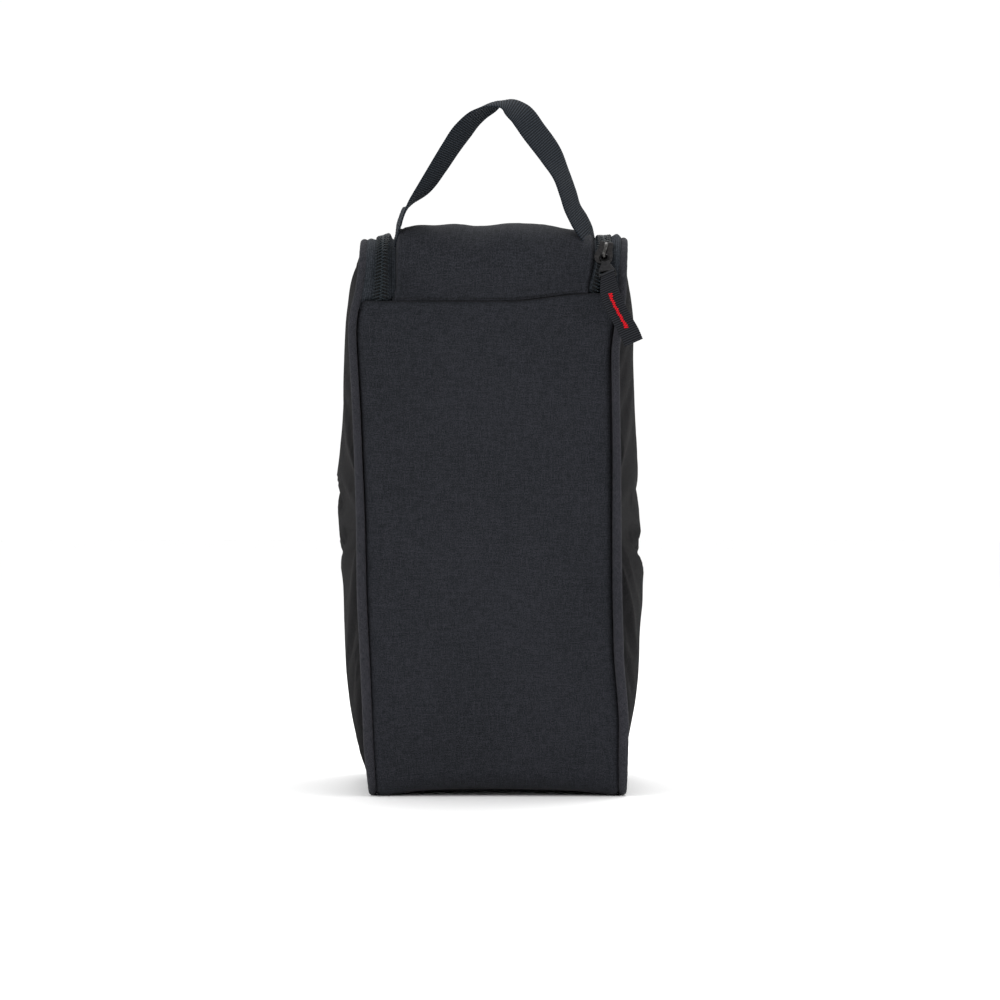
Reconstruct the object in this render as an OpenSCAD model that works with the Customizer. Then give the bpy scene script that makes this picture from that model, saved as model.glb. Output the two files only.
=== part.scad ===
// Zipped shoe bag: two bulging side panels with piped seams, a front, a base and a back panel,
// and a lid flap that a U-shaped zip closes. A webbing handle is sewn into the flap's side seams.
// The origin is on the floor at the centre of the base, +Z is up and -Y is the hinged front face.

/* [Body] */
// Width across the piping on the two sides
body_w = 162; // [150:1:180]
// Depth from the front face to the back face
body_d = 200; // [180:1:230]
// Height of the top edge beside the zip
body_h = 340; // [320:1:380]
// Radius of the top edges in side view
top_r = 22; // [20:1:26]
// Radius of the bottom edges in side view
base_r = 12; // [10:1:16]
// Thickness of the coated fabric
fabric_t = 1.4; // [1.0:0.1:1.4]
// How far the middle of a side panel stands out beyond its edge
side_bulge = 17; // [6:1:20]

/* [Piping] */
// Diameter of the covered piping
piping_d = 5; // [4.6:0.1:5.2]
// Diameter of the filler cord inside the piping
filler_d = 3; // [2:0.1:3.2]

/* [Lid flap] */
// Height of the seam that the flap folds about
hinge_z = 301; // [290:1:305]
// Half of the flap's width
flap_half_w = 61.2; // [58:0.2:61.2]
// How far the middle of the flap stands above its sewn edges
flap_crown = 6; // [2:1:8]

/* [Zip] */
// Distance from the centre plane to the middle of the zip
zip_x = 67; // [66.5:0.5:67.5]
// Distance from the centre plane to the zip's cross run at the back
zip_back_y = 68; // [60:1:68]
// Radius of the zip's two turns in plan view
zip_turn_r = 25; // [20:1:30]
// Width of one strand of coil
coil_w = 3.2; // [2.8:0.1:3.4]
// Gap between the two strands
strand_gap = 2; // [1.8:0.1:2.4]
// Angle of the slider round the top front edge, from the vertical
slider_angle = 30; // [24:1:34]

/* [Pull] */
// Sideways lean of the pull tab
tab_lean = 12; // [4:1:14]
// Width of the webbing puller
puller_w = 11.8; // [10:0.2:12]

/* [Handle] */
// Width of the handle webbing
webbing_w = 25; // [20:1:25]
// Thickness of the handle webbing
webbing_t = 1.5; // [1.2:0.1:1.8]

/* [Hidden] */
$fn = 64;

fabric_color = "#2c2d32";
side_color = "#393939";
tape_color = "#2a2c2d";
coil_color = "#15181b";
metal_color = "#3c3f42";
webbing_color = "#26292e";
thread_color = "#d8202c";

gap = 0.3;                                 // clearance between pieces on different bodies
half_d = body_d / 2;
corner_y = -half_d + top_r;                // centre of the top front edge's arc
corner_z = body_h - top_r;
gusset_half_w = body_w / 2 - piping_d - gap;
piping_x = (body_w - piping_d) / 2;
piping_inset = 1;                          // the piping stands this much less than its radius proud
piping_base_z = piping_d / 2 + gap;        // height of the piping's centre line under the bag
tape_inset = fabric_t + 0.1;
tape_t = 0.6;
tape_reach = 9;                            // from the middle of the zip to the tape's outer edge
coil_proud = 0.7;                          // the coil stands this much out of the fabric
panel_edge_x = body_w / 2 - 1.4;           // outer face of a side panel at its edge
side_t = 1.3;
edge_inset = 3.9;                          // from the outline to a side panel's edge
binding_w = 8;
binding_t = 2.2;
binding_inner_x = panel_edge_x - side_t - gap - binding_t;

// ---- side view outline and the panels that follow it ----

// Outline of the bag in side view, inset by i: x is depth and y is height.
module outline(i) {
    rt = top_r - i;
    rb = max(base_r - i, 0.5);
    hd = half_d - i;
    translate([-hd, i + rb]) square([2 * hd, body_h - 2 * i - rb - rt]);
    translate([-(hd - rt), body_h - i - rt - 1]) square([2 * (hd - rt), rt + 1]);
    translate([-(hd - rb), i]) square([2 * (hd - rb), rb + 1]);
    for (s = [-1, 1]) {
        translate([s * (hd - rt), body_h - i - rt]) circle(rt);
        translate([s * (hd - rb), i + rb]) circle(rb);
    }
}

// A layer between two insets of the outline, from x0 to x1 across the bag.
module layer(i0, i1, x0, x1) {
    translate([x0, 0, 0]) rotate([90, 0, 90]) linear_extrude(x1 - x0) difference() {
        outline(i0);
        outline(i1);
    }
}

// A box between two corners.
module block(low, high) {
    translate(low) cube(high - low);
}

// Plan view of everything inside the zip's line moved outwards by off.
module zip_plan(off) {
    r = zip_turn_r + off;
    w = zip_x + off;
    back = zip_back_y + off;
    translate([-w, -half_d - 10]) square([2 * w, back - r + half_d + 10]);
    translate([-(w - r), -half_d - 10]) square([2 * (w - r), back + half_d + 10]);
    for (s = [-1, 1]) translate([s * (w - r), back - r]) circle(r);
}

// A strip of the zip between two distances from its middle line, above z0.
module zip_strip(off0, off1, i0, i1, z0) {
    intersection() {
        layer(i0, i1, -zip_x - off1, zip_x + off1);
        translate([0, 0, z0]) linear_extrude(body_h - z0 + 5) difference() {
            zip_plan(off1);
            zip_plan(off0);
        }
    }
}

module front_panel() {
    color(fabric_color) intersection() {
        layer(0, fabric_t, -gusset_half_w, gusset_half_w);
        block([-body_w, -half_d - 1, 0], [body_w, -half_d + base_r, hinge_z - gap]);
    }
}

module base_panel() {
    color(fabric_color) intersection() {
        layer(0, fabric_t, -gusset_half_w, gusset_half_w);
        block([-body_w, -half_d + base_r, 0], [body_w, half_d - base_r, base_r]);
    }
}

// The back panel runs over the top back edge to the zip and fills the corners of its turns.
module back_panel() {
    turn_y = zip_back_y - zip_turn_r;
    color(fabric_color) difference() {
        intersection() {
            layer(0, fabric_t, -gusset_half_w, gusset_half_w);
            union() {
                block([-body_w, half_d - base_r, 0], [body_w, half_d + 1, body_h + 1]);
                block([-body_w, turn_y, body_h / 2], [body_w, half_d, body_h + 1]);
            }
        }
        translate([0, 0, body_h - top_r]) linear_extrude(top_r * 2) zip_plan(tape_reach - 1);
        block([-body_w, turn_y - 1, body_h / 2], [body_w, zip_back_y, body_h - 5]);
    }
}

// Points round a side panel's edge, as a share of the full size: x is depth and y is height.
function edge_arc(cy, cz, r, a0) = [for (k = [0:6]) [cy + r * cos(a0 + 15 * k), cz + r * sin(a0 + 15 * k)]];
function edge_run(p, q, n) = [for (k = [1:n - 1]) p + (q - p) * k / n];
function side_edge() =
    let (
        hd = half_d - edge_inset,
        z0 = piping_base_z + piping_d / 2 + gap,
        z1 = body_h - edge_inset,
        rb = base_r - 2,
        rt = top_r - edge_inset,
        lower_right = edge_arc(hd - rb, z0 + rb, rb, -90),
        upper_right = edge_arc(hd - rt, z1 - rt, rt, 0),
        upper_left = edge_arc(-hd + rt, z1 - rt, rt, 90),
        lower_left = edge_arc(-hd + rb, z0 + rb, rb, 180)
    ) concat(
        lower_right, edge_run([hd, z0 + rb], [hd, z1 - rt], 8),
        upper_right, edge_run([hd - rt, z1], [-hd + rt, z1], 5),
        upper_left, edge_run([-hd, z1 - rt], [-hd, z0 + rb], 8),
        lower_left, edge_run([-hd + rb, z0], [hd - rb, z0], 5)
    );
function bulge_at(s) = side_bulge * pow(1 - pow(s, 2.2), 0.9);

// One side panel, for x = +1 or -1: a pillow-shaped shell of even thickness.
module side_panel(side) {
    edge = side_edge();
    n = len(edge);
    rings = 8;
    mid = [0, body_h / 2];
    skin = function (x) [
        for (k = [1:rings]) let (s = k / rings) for (p = edge)
            let (q = mid + (p - mid) * s) [x + bulge_at(s), q[0], q[1]]
    ];
    outer = skin(panel_edge_x);
    inner = skin(panel_edge_x - side_t);
    count = len(outer);
    top_centre = [panel_edge_x + side_bulge, mid[0], mid[1]];
    points = concat(outer, inner, [top_centre, top_centre - [side_t, 0, 0]]);
    step = function (k, j) (k - 1) * n + j % n;
    faces = concat(
        [for (j = [0:n - 1]) [2 * count, step(1, j + 1), step(1, j)]],
        [for (j = [0:n - 1]) [2 * count + 1, count + step(1, j), count + step(1, j + 1)]],
        [for (k = [1:rings - 1], j = [0:n - 1])
            [step(k, j), step(k, j + 1), step(k + 1, j + 1), step(k + 1, j)]],
        [for (k = [1:rings - 1], j = [0:n - 1])
            [count + step(k + 1, j), count + step(k + 1, j + 1), count + step(k, j + 1), count + step(k, j)]],
        [for (j = [0:n - 1])
            [step(rings, j), step(rings, j + 1), count + step(rings, j + 1), count + step(rings, j)]]
    );
    color(side_color) mirror([side < 0 ? 1 : 0, 0, 0]) polyhedron(points, faces, convexity = 4);
}

// ---- piping and bindings ----

// A round bar of radius r, hollow if bore > 0, all the way round the edge of one side.
module edge_loop(x, r, bore) {
    y = half_d - piping_inset;
    rt = top_r - piping_inset;
    rb = base_r - piping_inset;
    z0 = piping_base_z;
    z1 = body_h - piping_inset;
    module section() {
        difference() {
            circle(r);
            if (bore > 0) circle(bore);
        }
    }
    module bend(s, cy, cz, radius, a0) {
        translate([x, s * cy, cz]) rotate([90, 0, 90]) mirror([s < 0 ? 1 : 0, 0, 0])
            rotate([0, 0, a0]) rotate_extrude(angle = 90) translate([radius, 0]) section();
    }
    for (s = [-1, 1]) {
        translate([x, s * y, z0 + rb]) linear_extrude(z1 - rt - z0 - rb) section();
        bend(s, y - rt, z1 - rt, rt, 0);
        bend(s, y - rb, z0 + rb, rb, -90);
    }
    translate([x, -(y - rt), z1]) rotate([-90, 0, 0]) linear_extrude(2 * (y - rt)) section();
    translate([x, -(y - rb), z0]) rotate([-90, 0, 0]) linear_extrude(2 * (y - rb)) section();
}

module piping(side) {
    color(side_color) edge_loop(side * piping_x, piping_d / 2, filler_d / 2 + 0.05);
}

module piping_filler(side) {
    color("white") edge_loop(side * piping_x, filler_d / 2, 0);
}

// The tape that is folded over the seam's raw edges and stands inwards as a fin.
module seam_binding(side) {
    x0 = side > 0 ? binding_inner_x : -binding_inner_x - binding_t;
    color(tape_color) intersection() {
        layer(edge_inset, edge_inset + binding_w, x0, x0 + binding_t);
        block([-body_w, -body_d, piping_base_z + piping_d / 2], [body_w, body_d, body_h]);
    }
}

module hinge_seam_binding() {
    inset = tape_inset + tape_t + 0.1;
    color(tape_color) intersection() {
        layer(inset, inset + 1, -zip_x, zip_x);
        block([-body_w, -half_d, hinge_z - 10], [body_w, -half_d + 6, hinge_z - gap]);
    }
}

// ---- zip ----

module zip_tape_bag_side() {
    color(tape_color) zip_strip(strand_gap / 2, tape_reach - gap, tape_inset, tape_inset + tape_t, hinge_z - 6);
}

module zip_coil_bag_side() {
    color(coil_color)
        zip_strip(strand_gap / 2, strand_gap / 2 + coil_w, -coil_proud, tape_inset - 0.01, hinge_z + 3);
}

// The part of the flap's strand that the slider spreads and covers, as a block to cut away.
module slider_clearance() {
    block([flap_half_w + gap, -half_d - 3, hinge_z], [zip_x + 3, corner_y, corner_z + top_r * 0.86]);
}

module zip_tape_flap_side() {
    color(tape_color) difference() {
        zip_strip(-tape_reach, -strand_gap / 2, tape_inset, tape_inset + tape_t, hinge_z + 1);
        slider_clearance();
    }
}

// Below the slider the flap's strand is spread towards the flap.
module zip_coil_flap_side() {
    color(coil_color) difference() {
        zip_strip(-strand_gap / 2 - coil_w, -strand_gap / 2, -coil_proud, tape_inset - 0.01, hinge_z + 3);
        slider_clearance();
    }
}

// A stop crimped across the closed end of the zip, on the left.
module zip_end_stop() {
    w = strand_gap - 2 * gap;
    color(metal_color) block([-zip_x - w / 2, -half_d - coil_proud, hinge_z + 3],
        [-zip_x + w / 2, -half_d + tape_inset + tape_t, hinge_z + 7]);
}

// The stop at the end of the bag's own strand, below the slider.
module zip_top_stop_bag_side() {
    x0 = zip_x + strand_gap / 2;
    color(metal_color) block([x0, -half_d - 1.4, hinge_z - 0.2],
        [x0 + coil_w, -half_d + tape_inset - 0.01, hinge_z + 2.9]);
}

// ---- lid flap ----

// Length along the flap from the hinge to its back edge, and the point at length t, inset by i.
flap_front = corner_z - hinge_z - gap;
flap_arc = top_r * PI / 2;
flap_back_y = zip_back_y - strand_gap / 2 - coil_w - 1.6;
flap_length = flap_front + flap_arc + flap_back_y - corner_y;
function flap_point(t, i) =
    t < flap_front ? [-half_d + i, hinge_z + gap + t] :
    t < flap_front + flap_arc ?
        let (a = (t - flap_front) / top_r * 180 / PI)
            [corner_y - (top_r - i) * cos(a), corner_z + (top_r - i) * sin(a)] :
        [corner_y + t - flap_front - flap_arc, body_h - i];
// The flap's half width narrows round the turns of the zip at the back.
flap_turn_r = 19;
function flap_half_width(t) =
    let (d = t - (flap_length - flap_turn_r))
        d <= 0 ? flap_half_w : flap_half_w - flap_turn_r + sqrt(max(pow(flap_turn_r, 2) - pow(d, 2), 0));
function flap_rise(u, t) =
    let (v = min(1, t / 45) * min(1, (flap_length - t) / 50))
        flap_crown * v * v * (3 - 2 * v) * (1 - pow(abs(u), 2.5));

module flap_panel() {
    across = 14;
    lengths = concat(
        [0, flap_front * 0.5],
        [for (k = [0:9]) flap_front + flap_arc * k / 9],
        [for (k = [1:6]) flap_front + flap_arc + (flap_length - flap_turn_r - flap_front - flap_arc) * k / 6],
        [for (k = [1:5]) flap_length - flap_turn_r + flap_turn_r * sin(90 * k / 5)]
    );
    n = across + 1;
    skin = function (i) [
        for (t = lengths) for (j = [0:across])
            let (u = 2 * j / across - 1, p = flap_point(t, i - flap_rise(u, t)))
                [u * flap_half_width(t), p[0], p[1]]
    ];
    outer = skin(0);
    inner = skin(fabric_t);
    count = len(outer);
    rows = len(lengths);
    at = function (k, j) k * n + j;
    faces = concat(
        [for (k = [0:rows - 2], j = [0:across - 1]) [at(k, j), at(k + 1, j), at(k + 1, j + 1), at(k, j + 1)]],
        [for (k = [0:rows - 2], j = [0:across - 1])
            [count + at(k, j + 1), count + at(k + 1, j + 1), count + at(k + 1, j), count + at(k, j)]],
        [for (j = [0:across - 1]) [at(0, j), at(0, j + 1), count + at(0, j + 1), count + at(0, j)]],
        [for (j = [0:across - 1]) [at(rows - 1, j + 1), at(rows - 1, j), count + at(rows - 1, j),
            count + at(rows - 1, j + 1)]],
        [for (k = [0:rows - 2]) [at(k + 1, 0), at(k, 0), count + at(k, 0), count + at(k + 1, 0)]],
        [for (k = [0:rows - 2]) [at(k, across), at(k + 1, across), count + at(k + 1, across),
            count + at(k, across)]]
    );
    color(fabric_color) polyhedron(concat(outer, inner), faces, convexity = 6);
}

// ---- handle ----

// The webbing band as a ring of four corners at each station. A station is a centre, the unit
// vector from the band's back edge to its front edge, and half the width there.
function unit(v) = v / norm(v);
function station_tangent(s, k) = unit(s[min(k + 1, len(s) - 1)][0] - s[max(k - 1, 0)][0]);
function station_ring(s, k, thick) =
    let (
        t = station_tangent(s, k),
        w0 = s[k][1],
        w = unit(w0 - t * (w0 * t)),
        n = cross(t, w) * thick / 2,
        h = w * s[k][2],
        c = s[k][0]
    ) [c + h + n, c + h - n, c - h - n, c - h + n];

module band(stations, thick) {
    n = len(stations);
    points = [for (k = [0:n - 1]) each station_ring(stations, k, thick)];
    near = function (k, j) 4 * k + j % 4;
    walls = [for (k = [0:n - 2], j = [0:3])
        each [[near(k, j), near(k, j + 1), near(k + 1, j + 1)], [near(k, j), near(k + 1, j + 1), near(k + 1, j)]]];
    polyhedron(points, concat([[3, 2, 1, 0]], walls, [[for (j = [0:3]) near(n - 1, j)]]), convexity = 6);
}

handle_x = 60;
handle_y = -82;                            // the line that the handle swings about
handle_z = 354;
// Stations along the handle: centre, then how far the front edge points to the right and up.
handle_route = [
    [[-handle_x, handle_y + 2, handle_z - 11], [0, -0.21]],
    [[-59.6, -81, handle_z - 8], [-0.06, -0.2]],
    [[-57.5, -82, handle_z - 3], [0, -0.2]],
    [[-54.5, -84, 355], [0.03, -0.08]],
    [[-50.6, -85.5, 360.5], [-0.03, 0]],
    [[-42.2, -87.5, 370], [-0.31, 0.22]],
    [[-33, -90, 383], [-0.4, 0.3]],
    [[-25.8, -92, 394], [-0.43, 0.33]],
    [[-18.4, -94, 404.3], [-0.4, 0.37]],
    [[-9.6, -95.5, 412.8], [-0.22, 0.33]],
    [[-1.2, -96.5, 417.8], [-0.05, 0.11]],
    [[8.5, -97, 419.8], [-0.34, -0.3]],
    [[17, -96.5, 414.9], [-0.46, -0.42]],
    [[25.9, -95, 403.7], [-0.52, -0.39]],
    [[35.7, -92.5, 389], [-0.5, -0.32]],
    [[41.5, -90.5, 378], [-0.41, -0.2]],
    [[45.6, -88, 367], [-0.41, -0.15]],
    [[49, -85.5, 357], [-0.38, -0.16]],
    [[53.5, -83, handle_z - 3], [-0.26, -0.2]],
    [[58.5, -81, handle_z - 8], [-0.1, -0.2]],
    [[handle_x, handle_y + 2, handle_z - 11], [0, -0.21]]
];
// The ends are cut round, about the line that the handle swings about, and stay clear of the flap.
end_r = webbing_w / 2 - 1;
function handle_half_width(c) =
    let (d = handle_z - c[2])
        d > 0 ? sqrt(max(pow(end_r, 2) - pow(d, 2), 4)) : end_r + min(1, -d / 6);

module handle_strap() {
    stations = [for (s = handle_route)
        [s[0], [s[1][0], -sqrt(1 - pow(s[1][0], 2) - pow(s[1][1], 2)), s[1][1]], handle_half_width(s[0])]];
    color(webbing_color) band(stations, webbing_t);
}

// The sewn tail of the handle under one edge of the flap.
module handle_tail(side) {
    inset = tape_inset + tape_t + 0.1;
    x0 = side > 0 ? handle_x - 11 : -handle_x;
    color(webbing_color) intersection() {
        layer(inset, inset + webbing_t, x0, x0 + 11);
        block([-body_w, -half_d + 8, corner_z + 10], [body_w, -half_d + 33, body_h]);
    }
}

// ---- slider and pull ----

slider_gap_outer = top_r + coil_proud + 0.25;     // inner face of the front plate, from the arc's centre
slider_len = 16;
slider_inner = sqrt(pow(top_r - tape_inset - tape_t - 0.25, 2) - pow(slider_len / 2, 2));
plate_t = 1.3;
front_face = slider_gap_outer + plate_t;
bridge_w = 2.4;
bridge_rise = 2.4;
pin_u = -2.8;                                     // the tab's pin, along the slider from its middle
pin_n = front_face + bridge_rise / 2;

// Places a piece drawn on the slider: x across, -y outwards from the arc's centre, z along the zip.
module on_slider() {
    translate([zip_x, corner_y, corner_z]) rotate([-slider_angle, 0, 0]) children();
}

// Outline of a slider plate, x across and y along the zip: broad shoulders at the open end.
module plate_outline(w) {
    translate([-w * 0.38, -slider_len * 0.1]) square([w * 0.76, slider_len * 0.6]);
    polygon([[-w * 0.3, -slider_len / 2], [w * 0.3, -slider_len / 2], [w / 2, -slider_len * 0.34],
        [w / 2, -slider_len * 0.08], [w * 0.38, slider_len * 0.16], [-w * 0.38, slider_len * 0.16],
        [-w / 2, -slider_len * 0.08], [-w / 2, -slider_len * 0.34]]);
}

module plate(y_inner, w) {
    translate([0, -y_inner, 0]) rotate([90, 0, 0]) linear_extrude(plate_t) plate_outline(w);
}

module slider_body() {
    post = strand_gap - 0.8;
    color(metal_color) on_slider() {
        plate(slider_gap_outer, 11);
        plate(slider_inner - plate_t, 9.6);
        block([-post / 2, -slider_gap_outer - 0.01, -slider_len * 0.42],
            [post / 2, -slider_inner + 0.01, -slider_len * 0.12]);
    }
}

// The bridge is a hoop along the front plate that holds the pull tab.
module slider_bridge() {
    f = front_face + 0.02;
    o = f + bridge_rise;
    top = 5.6;
    low = -6.9;
    color(metal_color) on_slider() translate([-bridge_w / 2, 0, 0]) rotate([90, 0, 90])
        linear_extrude(bridge_w) polygon([
            [-f, top], [-o, top - 1.2], [-o - 1.4, top - 2.8], [-o - 1.4, low + 2], [-o, low + 0.5], [-f, low],
            [-f, low + 1.7], [-o, low + 2.2], [-o, top - 3.2], [-f, top - 2.2]]);
}

module slider_lock_spring() {
    color("silver") on_slider()
        block([-0.8, -front_face - 0.25, 0.6], [0.8, -front_face - 0.05, 3]);
}

// Places a piece drawn on the pull tab: the pin is at the origin and the tab hangs along -z.
module on_tab() {
    on_slider() translate([0, -pin_n, pin_u]) rotate([0, -tab_lean, 0]) children();
}

tab_w = 11.6;
bar_z = -14.8;                                    // the bar that the webbing loops round
module pull_tab() {
    arm = 1.5;
    eye_w = 5.2;
    color(metal_color) on_tab() {
        translate([-eye_w / 2 - arm, 0, 0]) rotate([0, 90, 0]) cylinder(r = 0.85, h = eye_w + 2 * arm, $fn = 32);
        difference() {
            rotate([90, 0, 0]) translate([0, 0, -0.7]) linear_extrude(1.4) polygon([
                [-eye_w / 2 - arm, 0], [eye_w / 2 + arm, 0], [eye_w / 2 + arm, -6],
                [tab_w / 2, -11], [tab_w / 2, bar_z], [-tab_w / 2, bar_z], [-tab_w / 2, -11], [-eye_w / 2 - arm, -6]]);
            block([-eye_w / 2, -2, -5.8], [eye_w / 2, 2, 0.01]);
            block([-tab_w / 2 + 1, -2, bar_z - 1], [tab_w / 2 - 1, 2, -11.2]);
        }
        translate([-tab_w / 2, 0, bar_z]) rotate([0, 90, 0]) cylinder(r = 1, h = tab_w, $fn = 32);
    }
}

// Stations of the webbing puller, from just under the bar to its free end.
puller_route = [
    [70.4, -109.5, 314.3], [71.5, -111.8, 308], [73.6, -113.9, 301.5], [77, -116, 293.5],
    [80.5, -117.6, 286.7], [83.6, -118.8, 281.2], [86, -119.8, 275.8]
];
loop_half_w = 4.6;
function puller_stations(lift, w0, w1) = [for (k = [0:len(puller_route) - 1])
    [puller_route[k] + [0, -lift, 0], [cos(24), 0, sin(24)], k == 0 ? w0 : k == 1 ? (w0 + w1) / 2 : w1]];

module puller_webbing() {
    color(webbing_color) {
        band(puller_stations(0, loop_half_w, puller_w / 2), 2.4);
        on_tab() translate([-loop_half_w, 0, bar_z]) rotate([0, 90, 0]) difference() {
            cylinder(r = 2.3, h = 2 * loop_half_w, $fn = 40);
            translate([0, 0, -1]) cylinder(r = 1.15, h = 2 * loop_half_w + 2, $fn = 40);
        }
    }
}

// The row of dense stitches along the middle of the puller.
module puller_bartack() {
    stations = puller_stations(1.55, 1.3, 1.3);
    color(thread_color) band([for (k = [2:5]) stations[k]], 0.5);
}

front_panel();
base_panel();
back_panel();
side_panel(-1);  // left_side_panel
side_panel(1);  // right_side_panel
piping(-1);  // left_piping
piping(1);  // right_piping
piping_filler(-1);  // left_piping_filler
piping_filler(1);  // right_piping_filler
seam_binding(-1);  // left_seam_binding
seam_binding(1);  // right_seam_binding
hinge_seam_binding();
zip_tape_bag_side();
zip_coil_bag_side();
zip_end_stop();
zip_top_stop_bag_side();
flap_panel();
zip_tape_flap_side();
zip_coil_flap_side();
handle_tail(-1);  // handle_tail_left
handle_tail(1);  // handle_tail_right
handle_strap();
slider_body();
slider_bridge();
slider_lock_spring();
pull_tab();
puller_webbing();
puller_bartack();
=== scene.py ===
"""The looks of the zipped shoe bag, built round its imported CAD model.

Lengths are in millimetres until make_mesh() turns them into metres. The bag's fabric is laid out
on its side view: s runs up the front face, over the top, down the back and along the base.
"""

import math

import bmesh
import bpy
import numpy as np
from mathutils import Matrix, Vector, noise


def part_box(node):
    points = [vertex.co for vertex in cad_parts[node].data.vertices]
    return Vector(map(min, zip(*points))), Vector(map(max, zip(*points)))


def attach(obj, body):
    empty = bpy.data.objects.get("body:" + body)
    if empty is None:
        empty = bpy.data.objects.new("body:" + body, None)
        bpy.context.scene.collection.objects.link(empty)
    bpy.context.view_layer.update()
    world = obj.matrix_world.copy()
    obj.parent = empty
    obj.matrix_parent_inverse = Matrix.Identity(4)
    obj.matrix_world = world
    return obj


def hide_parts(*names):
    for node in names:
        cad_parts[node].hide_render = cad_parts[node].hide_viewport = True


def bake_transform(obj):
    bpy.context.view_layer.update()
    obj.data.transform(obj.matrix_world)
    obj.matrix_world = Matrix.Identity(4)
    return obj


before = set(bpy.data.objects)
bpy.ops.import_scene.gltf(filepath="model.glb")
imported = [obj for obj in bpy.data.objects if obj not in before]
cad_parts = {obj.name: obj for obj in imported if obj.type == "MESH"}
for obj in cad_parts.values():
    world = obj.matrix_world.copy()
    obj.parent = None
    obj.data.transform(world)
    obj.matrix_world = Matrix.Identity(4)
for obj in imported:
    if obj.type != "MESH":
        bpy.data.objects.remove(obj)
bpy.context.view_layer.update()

MM = 0.001


def box_mm(node):
    """The lowest and highest corner of a CAD node, in millimetres."""
    low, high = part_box(node)
    return np.array(low) * 1000, np.array(high) * 1000


# ---------------------------------------------------------------- sizes from the frame

front_low, front_high = box_mm("front_panel")
back_low, back_high = box_mm("back_panel")
piping_low, piping_high = box_mm("right_piping")
flap_coil_low, flap_coil_high = box_mm("zip_coil_flap_side")

GAP = 0.3                                   # clearance between bodies in the CAD
CLOTH_T = 1.2
STRAND_GAP = 2.0                            # between the two strands of coil in the CAD
PANEL_HALF = front_high[0]                  # half the width between the pipings
HALF_D = back_high[1]
BODY_H = back_high[2]
HINGE_Z = front_high[2] + GAP
TOP_R = 22.0
BASE_R = 12.0
PIPING_R = (piping_high[0] - piping_low[0]) / 2
PIPING_X = (piping_high[0] + piping_low[0]) / 2
PIPING_IN = PIPING_R - (piping_high[1] - HALF_D)
ZIP_X = flap_coil_high[0] + STRAND_GAP / 2
ZIP_BACK = flap_coil_high[1] + STRAND_GAP / 2
ZIP_TURN_R = 25.0
FLAP_HALF = box_mm("flap_panel")[1][0]
ARC_Y = -HALF_D + TOP_R                     # centre of the top front edge's arc
ARC_Z = BODY_H - TOP_R


# ---------------------------------------------------------------- camera, floor and light

def look_at(obj, target):
    direction = Vector(target) - obj.location
    obj.rotation_mode = "QUATERNION"
    obj.rotation_quaternion = direction.to_track_quat("-Z", "Y")


def make_camera():
    """A long lens level with the middle of the bag, square to the narrow front face."""
    distance = 2.2                          # from the front face
    height = 0.180
    side = 0.0042
    picture_width = 1000 / 1650             # metres across the picture at the front face
    data = bpy.data.cameras.new("camera")
    data.sensor_width = 36
    data.lens = 36 * distance / picture_width
    camera = bpy.data.objects.new("camera", data)
    camera.location = (side, -HALF_D * MM - distance, height)
    camera.rotation_euler = (math.radians(90), 0, 0)
    bpy.context.scene.collection.objects.link(camera)
    bpy.context.scene.camera = camera


def area_light(name, location, target, size, power):
    data = bpy.data.lights.new(name, "AREA")
    data.shape = "RECTANGLE"
    data.size, data.size_y = size
    data.energy = power
    light = bpy.data.objects.new(name, data)
    light.location = location
    look_at(light, target)
    bpy.context.scene.collection.objects.link(light)


def make_stage():
    """A pale round floor under a white world, with large soft lamps."""
    scene = bpy.context.scene
    scene.view_settings.view_transform = "Standard"
    world = bpy.data.worlds.new("studio")
    world.use_nodes = True
    world.node_tree.nodes["Background"].inputs["Color"].default_value = (1, 1, 1, 1)
    world.node_tree.nodes["Background"].inputs["Strength"].default_value = 1.02
    scene.world = world

    mesh = bpy.data.meshes.new("floor")
    bm = bmesh.new()
    bmesh.ops.create_circle(bm, cap_ends=True, segments=96, radius=14)
    bm.to_mesh(mesh)
    bm.free()
    floor = bpy.data.objects.new("floor", mesh)
    scene.collection.objects.link(floor)
    pale = bpy.data.materials.new("pale_floor")
    pale.use_nodes = True
    shader = pale.node_tree.nodes["Principled BSDF"]
    shader.inputs["Base Color"].default_value = (0.985, 0.985, 0.985, 1)
    shader.inputs["Roughness"].default_value = 0.9
    floor.data.materials.append(pale)

    middle = (0, 0, 0.2)
    area_light("key_left", (-1.5, -1.7, 1.5), middle, (0.5, 0.5), 14)
    area_light("fill_right", (1.9, -0.9, 0.9), middle, (1.2, 1.5), 5)
    area_light("top_back", (0.2, 0.8, 2.3), middle, (1.4, 1.0), 32)


make_camera()
make_stage()


# ---------------------------------------------------------------- materials

class Value:
    """An output in a material's node tree, which sums and products can be written with."""

    def __init__(self, graph, socket):
        self.graph = graph
        self.socket = socket

    def __add__(self, other):
        return self.graph.math("ADD", self, other)

    def __sub__(self, other):
        return self.graph.math("SUBTRACT", self, other)

    def __mul__(self, other):
        return self.graph.math("MULTIPLY", self, other)

    def __truediv__(self, other):
        return self.graph.math("DIVIDE", self, other)

    def __pow__(self, other):
        return self.graph.math("POWER", self, other)

    def __abs__(self):
        return self.graph.math("ABSOLUTE", self)


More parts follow.
